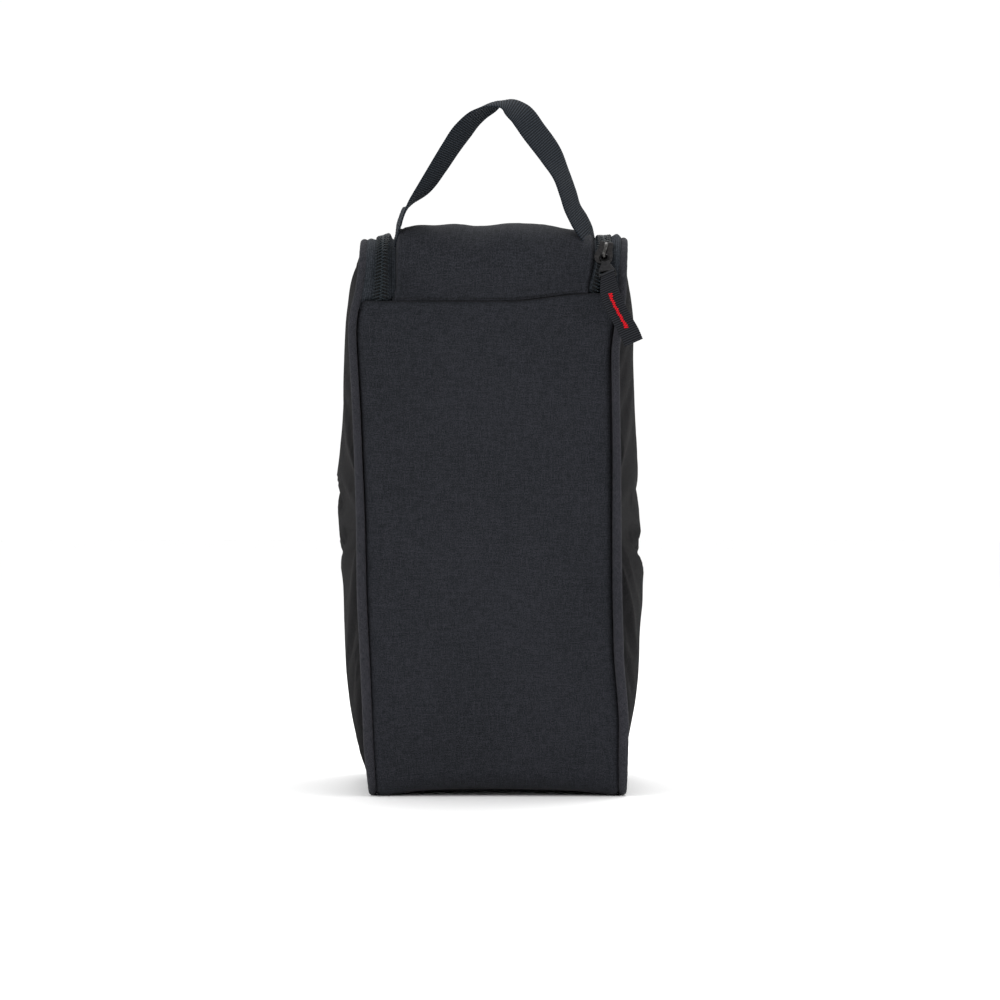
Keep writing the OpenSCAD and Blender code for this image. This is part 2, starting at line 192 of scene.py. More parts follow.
class Graph:
    """A material's node tree, with short calls for the nodes used here."""

    def __init__(self, name):
        self.material = bpy.data.materials.new(name)
        self.material.use_nodes = True
        self.nodes = self.material.node_tree.nodes
        self.shader = self.nodes["Principled BSDF"]

    def link(self, value, socket):
        if isinstance(value, Value):
            self.material.node_tree.links.new(value.socket, socket)
        else:
            socket.default_value = value

    def math(self, operation, *values):
        node = self.nodes.new("ShaderNodeMath")
        node.operation = operation
        for value, socket in zip(values, node.inputs):
            self.link(value, socket)
        return Value(self, node.outputs[0])

    def sine(self, value):
        return self.math("SINE", value)

    def floor(self, value):
        return self.math("FLOOR", value)

    def mix(self, share, a, b):
        """Between two values."""
        rest = self.math("SUBTRACT", 1.0, share)
        return rest * a + share * b

    def colours(self, share, *stops):
        """A colour ramp: stops are (position, (r, g, b))."""
        node = self.nodes.new("ShaderNodeValToRGB")
        ramp = node.color_ramp
        while len(ramp.elements) < len(stops):
            ramp.elements.new(0.5)
        for element, (position, colour) in zip(ramp.elements, stops):
            element.position = position
            element.color = (*colour, 1)
        self.link(share, node.inputs["Fac"])
        return Value(self, node.outputs["Color"])

    def across_and_along(self):
        """The two cloth directions, in millimetres, from the layer that make_mesh() writes."""
        uv = self.nodes.new("ShaderNodeUVMap")
        uv.uv_map = "cloth"
        split = self.nodes.new("ShaderNodeSeparateXYZ")
        self.link(Value(self, uv.outputs["UV"]), split.inputs[0])
        return Value(self, split.outputs["X"]), Value(self, split.outputs["Y"])

    def vector(self, x, y):
        node = self.nodes.new("ShaderNodeCombineXYZ")
        self.link(x, node.inputs[0])
        self.link(y, node.inputs[1])
        return Value(self, node.outputs[0])

    def place(self):
        return Value(self, self.nodes.new("ShaderNodeTexCoord").outputs["Object"])

    def noise(self, vector, scale, detail=2.0):
        node = self.nodes.new("ShaderNodeTexNoise")
        node.inputs["Scale"].default_value = scale
        node.inputs["Detail"].default_value = detail
        self.link(vector, node.inputs["Vector"])
        return Value(self, node.outputs["Fac"])

    def bump(self, height, strength, distance):
        node = self.nodes.new("ShaderNodeBump")
        node.inputs["Strength"].default_value = strength
        node.inputs["Distance"].default_value = distance
        self.link(height, node.inputs["Height"])
        self.link(Value(self, node.outputs[0]), self.shader.inputs["Normal"])

    def set(self, **values):
        for name, value in values.items():
            self.link(value, self.shader.inputs[name.replace("_", " ")])


def srgb(*levels):
    """Linear colour from 8-bit screen levels."""
    return tuple(v / 255 / 12.92 if v <= 10 else ((v / 255 + 0.055) / 1.055) ** 2.4 for v in levels)


def tinted(colour, share):
    return tuple(min(1.0, c * share) for c in colour)


BLOTCH = 0.36                               # how much cloth varies over a few centimetres


def woven(name, colour, pitch=(0.7, 0.7), contrast=0.35, relief=0.5, turned=False, sheen=0.02,
          specular=0.12):
    """Plain-woven cloth: warp and weft yarns pass over each other, each with a shade of its own. The low
    gaps between yarns are painted darker as painted shade and the high crossings lighter as painted
    highlight.
    """
    g = Graph(name)
    u, v = g.across_and_along()
    if turned:
        u, v = u + v, u - v
    cell_u = u / pitch[0]
    cell_v = v / pitch[1]
    wave_u = g.sine(cell_u * math.pi)
    wave_v = g.sine(cell_v * math.pi)
    warp_over = g.math("GREATER_THAN", wave_u * wave_v, 0.0)
    a, b = abs(wave_u), abs(wave_v)
    height = g.mix(warp_over, a ** 0.35 * b ** 0.8, a ** 0.8 * b ** 0.35)
    warp_shade = g.noise(g.vector(g.floor(cell_u) * 3.7, cell_v * 0.11), 1.0, 1.0)
    weft_shade = g.noise(g.vector(cell_u * 0.11, g.floor(cell_v) * 3.7), 1.0, 1.0)
    yarn = g.mix(warp_over, weft_shade, warp_shade)
    broad = g.noise(g.place(), 14.0, 3.0)
    fleck = g.noise(g.vector(u, v), 1.15, 2.5)
    tone_and_painted_shade = (yarn - 0.5) * (contrast * 3) + (broad - 0.5) * BLOTCH
    # Besides the yarns' own tone, the weave's height is painted into the colour: painted shade in the gaps
    # between yarns, painted highlight on the crossings.
    tone_and_painted_shade = tone_and_painted_shade + (fleck - 0.5) * (contrast * 4.2) + (height - 0.55) * 0.9
    cool = (0.86, 1.0, 1.06)
    warm = (1.08, 0.98, 1.02)
    dark = tuple(c * 0.42 * t for c, t in zip(colour, cool))
    light = tuple(c * 1.9 * t for c, t in zip(colour, warm))
    tone = g.colours(tone_and_painted_shade + 0.5, (0.0, dark), (0.5, colour), (1.0, light))
    g.set(Base_Color=tone, Roughness=0.86, Specular_IOR_Level=specular, Sheen_Weight=sheen,
          Sheen_Roughness=0.5)
    g.bump(height, relief, 0.00022)
    return g.material


RIB_PITCH = 1.4                             # of the webbing, along its length


def webbing_material(name, colour):
    """Ribbed webbing: fine warp yarns bow over the ribs that the mesh carries. The valleys between ribs are
    painted dark as painted shade, and the rib crests are painted light as painted highlight.
    """
    g = Graph(name)
    u, v = g.across_and_along()
    yarns = abs(g.sine(u * (math.pi / 0.62))) ** 0.6
    ribs = abs(g.sine(v * (math.pi / RIB_PITCH))) ** 1.3
    height = yarns * ribs
    fleck = g.noise(g.vector(u, v), 1.1, 2.0)
    # Rib and yarn height painted into the colour: painted shade in the valleys, painted highlight on the
    # crests, plus the cloth's own random fleck.
    tone_and_painted_shade = ribs * 0.62 + fleck * 0.5 + yarns * 0.1
    tone = g.colours(tone_and_painted_shade, (0.25, tinted(colour, 0.1)), (0.62, colour), (1.0, tinted(colour, 2.8)))
    g.set(Base_Color=tone, Roughness=g.mix(height, 0.85, 0.6), Specular_IOR_Level=0.08,
          Sheen_Weight=0.01)
    g.bump(height, 0.6, 0.00025)
    return g.material


def nylon(name, colour, roughness=0.32):
    """Smooth monofilament with faint draw marks."""
    g = Graph(name)
    marks = g.noise(g.place(), 900.0, 2.0)
    tone = g.colours(marks, (0.3, tinted(colour, 0.8)), (0.75, tinted(colour, 1.3)))
    g.set(Base_Color=tone, Roughness=g.mix(marks, roughness - 0.08, roughness + 0.12),
          Specular_IOR_Level=0.24)
    g.bump(marks, 0.12, 0.00008)
    return g.material


def plated(name, colour, worn, roughness, metallic=0.6, shine=0.3):
    """Dark plated metal, rubbed brighter along its edges."""
    g = Graph(name)
    edge = Value(g, g.nodes.new("ShaderNodeNewGeometry").outputs["Pointiness"])
    grain = g.noise(g.place(), 700.0, 3.0)
    wear = (edge - 0.5) * 2.0 + (grain - 0.5) * 0.6
    tone = g.colours(wear + 0.2, (0.2, colour), (0.8, worn))
    g.set(Base_Color=tone, Metallic=metallic, Specular_IOR_Level=shine,
          Roughness=g.mix(grain, roughness - 0.07, roughness + 0.13))
    g.bump(grain, 0.08, 0.00005)
    return g.material


def thread(name, colour):
    """Twisted sewing thread, the grooves of its twist painted darker and its ridges lighter: painted shade
    and painted highlight over the fibres' own tone.
    """
    g = Graph(name)
    u, v = g.across_and_along()
    twist = g.sine((u * 1.2 + v) * 9.0)
    fibre = g.noise(g.place(), 2500.0, 2.0)
    # The twist term is painted shade and highlight; the fibre noise is the thread's own tone.
    tone = g.colours(twist * 0.22 + fibre, (0.2, tinted(colour, 0.7)), (0.8, tinted(colour, 1.15)))
    g.set(Base_Color=tone, Roughness=0.5, Specular_IOR_Level=0.15)
    g.bump(twist, 0.4, 0.00006)
    return g.material


SHELL = woven("shell_cloth", srgb(30, 32, 36), contrast=0.52)
SIDE = woven("side_cloth", srgb(22, 22, 23), contrast=0.3, sheen=0.0, specular=0.06)
PIPING_CLOTH = woven("piping_cloth", srgb(39, 40, 44), turned=True, contrast=0.6)
TAPE = woven("zip_tape_cloth", srgb(37, 41, 45), pitch=(1.1, 0.5), contrast=0.5, relief=0.6)
BINDING = woven("binding_cloth", srgb(32, 33, 36), pitch=(0.9, 0.6), contrast=0.3)
CORD = woven("filler_cord", srgb(215, 214, 208), pitch=(0.8, 0.8), turned=True, contrast=0.1)
WEBBING = webbing_material("webbing", srgb(21, 25, 30))
COIL = nylon("coil_nylon", srgb(19, 27, 32), 0.24)
# The coil's core cord is near black as painted shade in the gaps between the coil's loops.
GAP_SHADE_CORE = thread("coil_core_gap_shade", srgb(7, 8, 9))
PULLER_WEBBING = webbing_material("puller_cloth", srgb(24, 25, 28))
COIL_THREAD = thread("coil_thread", srgb(26, 29, 32))
SEAM_THREAD = thread("seam_thread", srgb(20, 21, 24))
RED_THREAD = thread("red_thread", srgb(205, 10, 28))
GUNMETAL = plated("gunmetal", srgb(26, 26, 28), srgb(66, 65, 66), 0.42)
DARK_METAL = plated("dark_gunmetal", srgb(32, 31, 32), srgb(72, 70, 69), 0.34, 0.5, 0.2)
BRIGHT_METAL = plated("bright_gunmetal", srgb(58, 57, 56), srgb(120, 119, 118), 0.28, 0.8)
BLACK_METAL = plated("black_metal", srgb(2, 2, 3), srgb(6, 7, 8), 0.12, 0.0, 0.1)
STEEL = plated("spring_steel", srgb(130, 130, 132), srgb(180, 180, 182), 0.3)


# ---------------------------------------------------------------- numbers, paths and grids

def ease(x):
    x = np.clip(x, 0, 1)
    return x * x * (3 - 2 * x)


def softened(values, window):
    """A row of numbers, smoothed over a window with an odd number of them."""
    kernel = np.hanning(window)
    return np.convolve(np.pad(values, window // 2, mode="edge"), kernel / kernel.sum(), mode="valid")


def curve_through(heights, values):
    """A smooth function of height through the given values."""
    fine = np.linspace(heights[0], heights[-1], 400)
    soft = softened(np.interp(fine, heights, values), 31)
    return lambda z: np.interp(z, fine, soft)


def unit(vectors):
    return vectors / np.linalg.norm(vectors, axis=-1)[..., None]


def travel(points):
    """How far along a path each of its points lies."""
    return np.concatenate([[0], np.cumsum(np.linalg.norm(np.diff(points, axis=0), axis=1))])


def read_off(at, length, table):
    """The rows of a table at distances along it."""
    return np.stack([np.interp(at, length, column) for column in table.T], -1)


def grid_of(a, b):
    """Two coordinates for each point of a grid."""
    return np.stack(np.broadcast_arrays(a, b), -1)


def ring_round(centre, side, up, radius, angles):
    """Points round each centre of a path, in the plane of side and up."""
    return centre[:, None] + (side[:, None] * np.cos(angles)[None, :, None]
                              + up[:, None] * np.sin(angles)[None, :, None]) * radius[:, None, None]


# ---------------------------------------------------------------- the bag's side view

def side_view(step=0.25):
    """Arc length, y, z and the outward normal all round the side view, from the base's front end."""
    y0, z0 = HALF_D - BASE_R, BASE_R
    y1, z1 = HALF_D - TOP_R, ARC_Z
    bends = [(-y0, z0, BASE_R, -90), (-y1, z1, TOP_R, -180), (y1, z1, TOP_R, 90), (y0, z0, BASE_R, 0)]
    points, normals = [], []
    for cy, cz, r, a0 in bends:
        for a in np.radians(np.linspace(0, 90, max(8, int(r * 1.57 / step)))):
            angle = math.radians(a0) - a
            points.append((cy + r * math.cos(angle), cz + r * math.sin(angle)))
            normals.append((math.cos(angle), math.sin(angle)))
    points.append(points[0])
    normals.append(normals[0])
    points, normals = np.array(points), np.array(normals)
    return travel(points), points[:, 0], points[:, 1], normals[:, 0], normals[:, 1]


SIDE_VIEW = side_view()
LOOP = SIDE_VIEW[0][-1]
QUARTER_TOP = TOP_R * math.pi / 2
QUARTER_BASE = BASE_R * math.pi / 2
S_HINGE = QUARTER_BASE + HINGE_Z - BASE_R
S_ARC = QUARTER_BASE + ARC_Z - BASE_R
S_TOP = S_ARC + QUARTER_TOP
S_TOP_END = S_TOP + 2 * (HALF_D - TOP_R)
S_BACK = S_TOP_END + QUARTER_TOP
S_BACK_END = S_BACK + ARC_Z - BASE_R


def on_side_view(s, out=0.0):
    """y and z at arc length s, raised by out along the normal."""
    length, y, z, ny, nz = SIDE_VIEW
    s = np.mod(s, LOOP)
    return (np.interp(s, length, y) + out * np.interp(s, length, ny),
            np.interp(s, length, z) + out * np.interp(s, length, nz))


# Where the two front seams run, and how far the side cloth reaches at mid-depth, at each height.
left_seam_at = curve_through(
    [0, 8, 30, 55, 90, 122, 168, 214, 237, 260, 272, 284, 295, 306, 323, 340, 360],
    [-71.6, -72, -74, -74.6, -75.7, -77.2, -77.9, -79.6, -80.6, -81.9, -82.7, -83.2, -82, -78.6, -76.6,
     -76, -76])
right_seam_at = curve_through(
    [0, 30, 44, 59, 70, 82, 99, 122, 168, 205, 237, 272, 290, 306, 323, 340, 360],
    [77.2, 77.5, 77.8, 76.6, 75.4, 74.1, 73.5, 72.9, 72.6, 72.6, 72.1, 71.6, 74.4, 76, 76.3, 77.4, 77.4])
left_reach_at = curve_through(
    [0, 7, 19, 25, 41, 56, 72, 87, 118, 149, 180, 195, 211, 226, 257, 288, 304, 316, 326, 340],
    [76, 77.2, 80.6, 83.5, 87.2, 90, 92, 92.9, 94.3, 96.3, 98.1, 98.5, 97.2, 95.6, 94.1, 92.6, 91, 88.8,
     84.6, 79])
right_reach_at = curve_through(
    [0, 25, 41, 56, 72, 87, 103, 118, 134, 149, 180, 211, 242, 273, 288, 298, 310, 322, 340],
    [80, 82, 85, 88.2, 90.5, 91.5, 93, 94.6, 94.5, 93.8, 92.2, 90.8, 89.2, 88.1, 87.6, 86.4, 84, 82, 79])
FOOT_ARCH = 5.2                             # the middle of the base's front and back folds is off the floor
CAGE_HALF = 76.0                            # half width of the CAD shape at the seams


def flare_at(z):
    """How much of the width beyond a seam is left: the piping tucks in at the foot."""
    return 0.62 + 0.38 * ease((z - 20) / 90)


def settle(p):
    """Moves points from the square CAD shape to the shape that the stuffed bag has."""
    p = np.array(p, float)
    x, y, z = p[..., 0], p[..., 1], p[..., 2]
    left, right = left_seam_at(z), right_seam_at(z)
    inner = np.clip(x, -CAGE_HALF, CAGE_HALF)
    share = (inner + CAGE_HALF) / (2 * CAGE_HALF)
    low_down = left + share * (right - left)
    shift = np.where(x < 0, left + CAGE_HALF, right - CAGE_HALF)
    high_up = inner + shift * ease((np.abs(inner) - 62) / (CAGE_HALF - 62))
    across = low_down + (high_up - low_down) * ease((z - 288) / 16)
    beyond = np.sign(x) * np.maximum(np.abs(x) - CAGE_HALF, 0) * flare_at(z)
    near_end = np.exp(-np.square((HALF_D - np.abs(y)) / 26))
    arch = FOOT_ARCH * (1 - np.abs(np.clip((x - 2) / 70, -1, 1)) ** 3.2)
    lift = arch * near_end * ease(1 - z / 45)
    top = ease((z - 312) / 22)
    bound = np.where(x < 0, 1.8, 3.0) * ease((np.abs(x) - 74.5) / 4.5)
    raised_right = 1.3 * np.exp(-((x - 68) / 9) ** 4) + 1.9 * np.exp(-((x - 76.5) / 5.4) ** 4)
    raised = np.where(x < 0, 2.6 * np.exp(-np.square((x + 62) / 6.5)), raised_right)
    lift = lift + top * (raised - bound)
    return np.stack([across + beyond, y, z + lift], -1)


def rough(p, size, seed=0.0):
    """Smooth noise from -1 to 1 at points p, with features of about this size in millimetres."""
    flat = np.reshape(p, (-1, 3)) / size + seed * 17.3
    values = np.array([noise.noise(Vector(q)) for q in flat])
    return values.reshape(np.shape(p)[:-1])


# ---------------------------------------------------------------- mesh helpers

def make_mesh(name, points, faces, material, uv=None, smooth=True):
    """An object from millimetre points. uv gives each point's place on the flat cloth, in millimetres."""
    mesh = bpy.data.meshes.new(name)
    points = np.asarray(points, float).reshape(-1, 3)
    mesh.from_pydata((points * MM).tolist(), [], [list(map(int, f)) for f in faces])
    mesh.polygons.foreach_set("use_smooth", [smooth] * len(mesh.polygons))
    if uv is not None:
        layer = mesh.uv_layers.new(name="cloth")
        uv = np.asarray(uv, float).reshape(-1, 2)
        loops = np.zeros(len(mesh.loops), int)
        mesh.loops.foreach_get("vertex_index", loops)
        layer.data.foreach_set("uv", uv[loops].ravel())
    mesh.update()
    obj = bpy.data.objects.new(name, mesh)
    bpy.context.scene.collection.objects.link(obj)
    mesh.materials.append(material)
    return obj


def grid_faces(rows, columns, close_rows=False, close_columns=False, first=0):
    faces = []
    for i in range(rows if close_rows else rows - 1):
        for j in range(columns if close_columns else columns - 1):
            a = first + i * columns + j
            b = first + i * columns + (j + 1) % columns
            c = first + (i + 1) % rows * columns + (j + 1) % columns
            d = first + (i + 1) % rows * columns + j
            faces.append((a, b, c, d))
    return faces


def apply_modifiers(obj):
    depsgraph = bpy.context.evaluated_depsgraph_get()
    mesh = bpy.data.meshes.new_from_object(obj.evaluated_get(depsgraph))
    obj.modifiers.clear()
    obj.data = mesh


def thicken(obj, thickness):
    """Gives a sheet its thickness, inwards from its outer face."""
    modifier = obj.modifiers.new("thickness", "SOLIDIFY")
    modifier.thickness = thickness * MM
    modifier.offset = -1
    modifier.use_even_offset = False
    apply_modifiers(obj)
    obj.data.polygons.foreach_set("use_smooth", [True] * len(obj.data.polygons))


def finish_piece(obj, body, slot, *replaces):
    """Ties a piece to a body, or with body None bakes its placement into its mesh, and hides the CAD parts
    that it replaces.
    """
    if body:
        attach(obj, body)
    else:
        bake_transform(obj)
    if replaces:
        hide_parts(*replaces)


def side_name(side):
    return "left" if side < 0 else "right"


def tangents_along(points, closed=False):
    """The direction of a path at each of its points."""
    return unit(np.roll(points, -1, 0) - np.roll(points, 1, 0) if closed else np.gradient(points, axis=0))


def tube(name, points, radius, material, sides, up, closed=False, flat=1.0):
    """A round or flattened bar along a path. up is a direction, or one for each point."""
    points = np.asarray(points, float)
    tangents = tangents_along(points, closed)
    side = np.cross(tangents, up)
    side /= np.maximum(np.linalg.norm(side, axis=1), 1e-9)[:, None]
    radius = np.broadcast_to(radius, len(points))
    angles = np.linspace(0, 2 * math.pi, sides, endpoint=False)
    body = ring_round(points, side, np.cross(side, tangents) * flat, radius, angles)
    faces = [f[::-1] for f in grid_faces(len(points), sides, closed, True)]
    if not closed:
        end = len(points) * sides
        faces += [tuple(range(sides)), tuple(range(end - 1, end - sides - 1, -1))]
    uv = grid_of(angles[None] * radius.mean(), travel(points)[:, None])
    return make_mesh(name, body, faces, material, uv)


STITCH = 3.0
STITCH_PAUSE = 0.55
THREAD_R = 0.24


def stitch_row(name, path, normals, material):
    """Separate stitches along a path, each an oval bead that dips into the cloth at its ends."""
    length = travel(path)
    points, faces, uv = [], [], []
    sides, rings = 6, 5
    bow = np.array([-0.9, 0.35, 0.6, 0.35, -0.9]) * THREAD_R - 0.1
    swell = np.array([0.35, 0.9, 1.0, 0.9, 0.35]) * THREAD_R
    angles = np.linspace(0, 2 * math.pi, sides, endpoint=False)
    for start in np.arange(0.2, length[-1] - STITCH, STITCH + STITCH_PAUSE):
        s = start + np.linspace(0, STITCH, rings)
        up = read_off(s, length, normals)
        centre = read_off(s, length, path) + up * bow[:, None]
        tangent = tangents_along(centre)
        side = unit(np.cross(tangent, up))
        first = len(points) * sides * rings
        points.append(ring_round(centre, side, np.cross(side, tangent), swell, angles))
        uv.append(grid_of(angles[None], s[:, None]))
        faces += [f[::-1] for f in grid_faces(rings, sides, False, True, first)]
        last = first + rings * sides - 1
        faces += [tuple(range(first, first + sides)), tuple(range(last, last - sides, -1))]
    return make_mesh(name, np.array(points), faces, material, np.array(uv))


# ---------------------------------------------------------------- panels wrapped on the side view

def wrapped(s, x, out=0.0):
    """Points at arc lengths s and across x, raised by out, on the settled bag."""
    y, z = on_side_view(s, out)
    x, y, z = np.broadcast_arrays(x, y, z)
    return settle(np.stack([x, y, z], -1))


def seam_height(x):
    """How far the hinge seam climbs towards the slider's side."""
    return 4.6 * ease((x - 8) / 52)


def edge_tuck(u, width, depth):
    """The cloth turns in at both side seams: 0 over most of the width, then down by depth."""
    near = (1 - np.abs(u)) * width
    return -depth * np.clip(1 - near / 3.6, 0, 1) ** 1.8


def seam_puckers(s, place, near_edge, seed):
    """Small ripples beside a side seam, where its stitches gather the cloth."""
    ripple = np.sin(s * 2 * math.pi / 8.5 + 2 * rough(place, 30, seed))
    return 0.28 * ripple * np.exp(-near_edge / 5) * ease(near_edge / 2)


def shell_cloth(name, s, x, out, body, node):
    """A panel of the shell, given as a grid of places on the side view."""
    obj = make_mesh(name, wrapped(s, x, out), grid_faces(*s.shape), SHELL, np.stack([x, s], -1))
    thicken(obj, CLOTH_T)
    finish_piece(obj, body, "shell_fabric", node)


def front_panel():
    """The front face, from the fold under the base up to the hinge seam."""
    rows, columns = 190, 96
    u = np.linspace(-1, 1, columns)
    u = np.sign(u) * (1 - (1 - np.abs(u)) ** 1.25)
    share = np.linspace(0, 1, rows)[:, None]
    top = S_HINGE - 0.2 + seam_height(u * PANEL_HALF)
    s = -6 + share * (top[None] + 6)
    x = np.broadcast_to(u * PANEL_HALF, s.shape)
    from_top = top[None] - s
    near_edge = (1 - np.abs(u)) * PANEL_HALF
    out = 3.0 * (1 - np.abs(u) ** 2.4) * np.sin(math.pi * np.clip(s / S_HINGE, 0, 1)) ** 0.7
    out = out - 2.0 * ease((x - 36) / 40) * ease(s / 60) * ease(from_top / 60)
    out = out + edge_tuck(u, PANEL_HALF, 3.0) + 0.5 * np.exp(-np.square((from_top - 2.2) / 1.5))
    out = out - 1.0 * (1 - ease(from_top / 1.2))
    place = wrapped(s, x)
    out = out + 1.1 * rough(place, 75, 1) * ease(near_edge / 18) * ease(from_top / 20)
    out = out + 0.35 * rough(place * [1, 1, 0.35], 17, 2) * ease(1 - from_top / 34) * ease(from_top / 3)
    shell_cloth("front_cloth", s, x, out + seam_puckers(s, place, near_edge, 3), None, "front_panel")


def base_panel():
    """The underside, a little hollow along its front and back folds."""
    rows, columns = 60, 60
    u = np.linspace(-1, 1, columns)
    s = np.linspace(S_BACK_END + QUARTER_BASE - 2, LOOP - 5, rows)[:, None] * np.ones(columns)
    x = u * PANEL_HALF * np.ones((rows, 1))
    shell_cloth("base_cloth", s, x, edge_tuck(u, PANEL_HALF, 1.0) - 0.15, "bag", "base_panel")


def back_panel():
    """The back face, which runs over the top back edge to the zip and fills the corners of its turns."""
    rows, columns = 200, 110
    u = np.linspace(-1, 1, columns)
    x_line = u * PANEL_HALF
    hem = 5.4                                # from the middle of the zip to the panel's folded edge
    reach = ZIP_TURN_R + hem
    turn_y = ZIP_BACK - ZIP_TURN_R
    past = np.clip(np.abs(x_line) - (ZIP_X - ZIP_TURN_R), 0, reach)
    start_y = turn_y + np.sqrt(np.maximum(reach**2 - past**2, 0))
    beyond = np.abs(x_line) > ZIP_X + hem - 0.3
    start_y = np.where(beyond, turn_y - 14, start_y)
    start = S_TOP + start_y - ARC_Y
    end = S_BACK_END + QUARTER_BASE
    share = np.linspace(0, 1, rows)[:, None] ** 1.15
    s = start[None] + share * (end - start[None])
    x = np.broadcast_to(x_line, s.shape)
    near_edge = (1 - np.abs(u)) * PANEL_HALF
    from_hem = s - start[None]
    down = np.clip((s - S_BACK) / (S_BACK_END - S_BACK), 0, 1)
    out = 3.2 * (1 - np.abs(u) ** 2.4) * np.sin(math.pi * down) ** 0.7 + edge_tuck(u, PANEL_HALF, 3.2)
    out = out + 0.5 * ease(1 - from_hem / 3.0) - 0.9 * ease(1 - from_hem / 0.8)
    place = wrapped(s, x)
    out = out + 1.2 * rough(place, 70, 4) * ease(near_edge / 18) * ease(from_hem / 15)
    shell_cloth("back_cloth", s, x, out + seam_puckers(s, place, near_edge, 5), "bag", "back_panel")


# ---------------------------------------------------------------- side panels

def side_grid(rows, columns, inset):
    """y and z over one side panel, whose rows end on its rounded outline."""
    low, high = PIPING_R + 1.4, BODY_H - inset
    share = np.linspace(0, 1, rows)
    share = (1 - np.cos(share * math.pi)) / 2 * 0.45 + share * 0.55
    z = low + share * (high - low)
    half = HALF_D - inset
    rt, rb = TOP_R - inset, BASE_R - 2
    top_gap = np.clip(z - (high - rt), 0, rt)
    low_gap = np.clip((low + rb) - z, 0, rb)
    reach = half - (rt - np.sqrt(rt**2 - top_gap**2)) - (rb - np.sqrt(rb**2 - low_gap**2))
    across = np.linspace(-1, 1, columns)
    across = np.sign(across) * (1 - (1 - np.abs(across)) ** 1.2)
    return reach[:, None] * across[None], np.broadcast_to(z[:, None], (rows, columns))


def inflate(obj, pinned, pressure, spare, frames):
    """Blows a sheet up against its pinned edge with Blender's cloth, and keeps the result."""
    group = obj.vertex_groups.new(name="pinned")
    group.add([int(i) for i in pinned], 1.0, "REPLACE")
    modifier = obj.modifiers.new("cloth", "CLOTH")
    cloth = modifier.settings
    cloth.quality = 6
    cloth.mass = 0.25
    cloth.vertex_group_mass = "pinned"
    cloth.use_pressure = True
    cloth.uniform_pressure_force = pressure
    cloth.shrink_min = -spare
    cloth.shrink_max = -spare
    cloth.tension_stiffness = cloth.compression_stiffness = 22
    cloth.shear_stiffness = 8
    cloth.bending_stiffness = 0.6
    cloth.air_damping = 4
    cloth.effector_weights.gravity = 0.0
    modifier.collision_settings.use_collision = False
    modifier.point_cache.frame_start, modifier.point_cache.frame_end = 1, frames
    scene = bpy.context.scene
    for step in range(1, frames + 1):
        scene.frame_set(step)
    apply_modifiers(obj)
    scene.frame_set(1)
    obj.vertex_groups.clear()


def side_panel(side, reach_at, seam_at, seed):
    """One bulging side: cloth blown out against its piped edge, then set to the bag's own outline."""
    rows, columns, inset = 120, 78, 2.8
    y, z = side_grid(rows, columns, inset)
    base_x = PANEL_HALF + 3.1
    v = (z - z.min()) / (z.max() - z.min())
    w = y / np.abs(y).max(1)[:, None]
    dome = (1 - np.abs(w) ** 2.3) ** 0.85 * (1 - np.abs(2 * v - 1) ** 3.2) ** 0.8
    x = base_x + 9 * dome
    points = np.stack([x * side, y, z], -1)
    faces = grid_faces(rows, columns)
    if side < 0:
        faces = [f[::-1] for f in faces]
    obj = make_mesh(f"{side_name(side)}_side_cloth", points, faces, SIDE, np.stack([y, z], -1))
    index = np.arange(rows * columns).reshape(rows, columns)
    edge = np.unique(np.concatenate([index[0], index[-1], index[:, 0], index[:, -1]]))
    inflate(obj, edge, 1.6, 0.035, 26)
    co = np.zeros(rows * columns * 3)
    obj.data.vertices.foreach_get("co", co)
    p = co.reshape(rows, columns, 3) / MM
    rise = p[..., 0] * side - base_x
    most = np.maximum(softened(rise.max(1), 13), 0.5)
    heights = z[:, 0]
    target = (reach_at(heights) - side * seam_at(heights)) / flare_at(heights) - (base_x - CAGE_HALF)
    target = target * ease((heights - heights[0]) / 7) * ease((heights[-1] - heights) / 7)
    rise = rise * (target / most)[:, None]
    rise = rise + 0.7 * rough(p, 60, seed) * ease(rise / 5)
    near = np.minimum(np.abs(np.abs(w) - 1) * HALF_D, np.minimum(z - z.min(), z.max() - z))
    rise = rise - 1.2 * (1 - ease(near / 2.5))
    p[..., 0] = side * (base_x + rise)
    p = settle(p)
    obj.data.vertices.foreach_set("co", (p * MM).ravel())
    obj.data.update()
    thicken(obj, CLOTH_T)
    finish_piece(obj, "bag", "side_fabric", f"{side_name(side)}_side_panel")


# ---------------------------------------------------------------- piping and bindings

def loop_path(x, inset, step=1.6):
    """A settled loop round one side at a distance inside the outline, clear of the floor."""
    s = np.arange(0, LOOP, step)
    y, z = on_side_view(s, -inset)
    low = PIPING_R + GAP - inset
    z = z + np.maximum(low, 0) * ease(1 - z / 30)
    return settle(np.stack([np.full_like(y, x), y, z], -1)), s


def piping(side):
    """Cloth folded round a cord, with the small puckers that its stitching leaves."""
    path, s = loop_path(side * PIPING_X, PIPING_IN)
    radius = PIPING_R * (1 + 0.035 * rough(path, 24, 8 + side) + 0.02 * np.sin(s * 2 * math.pi / 6.3))
    radius = radius * (1 + 0.2 * ease((230 - path[:, 2]) / 120) * ease(path[:, 2] / 30))
    name = side_name(side)
    obj = tube(f"{name}_piping_cover", path, radius, PIPING_CLOTH, 20, [side, 0, 0], True)
    finish_piece(obj, "bag", "piping_fabric", f"{name}_piping")


def piping_filler(side):
    name = side_name(side)
    path, _ = loop_path(side * PIPING_X, PIPING_IN, 2.4)
    obj = tube(f"{name}_piping_cord", path, 1.35, CORD, 10, [side, 0, 0], True)
    finish_piece(obj, "bag", "filler_cord", f"{name}_piping_filler")


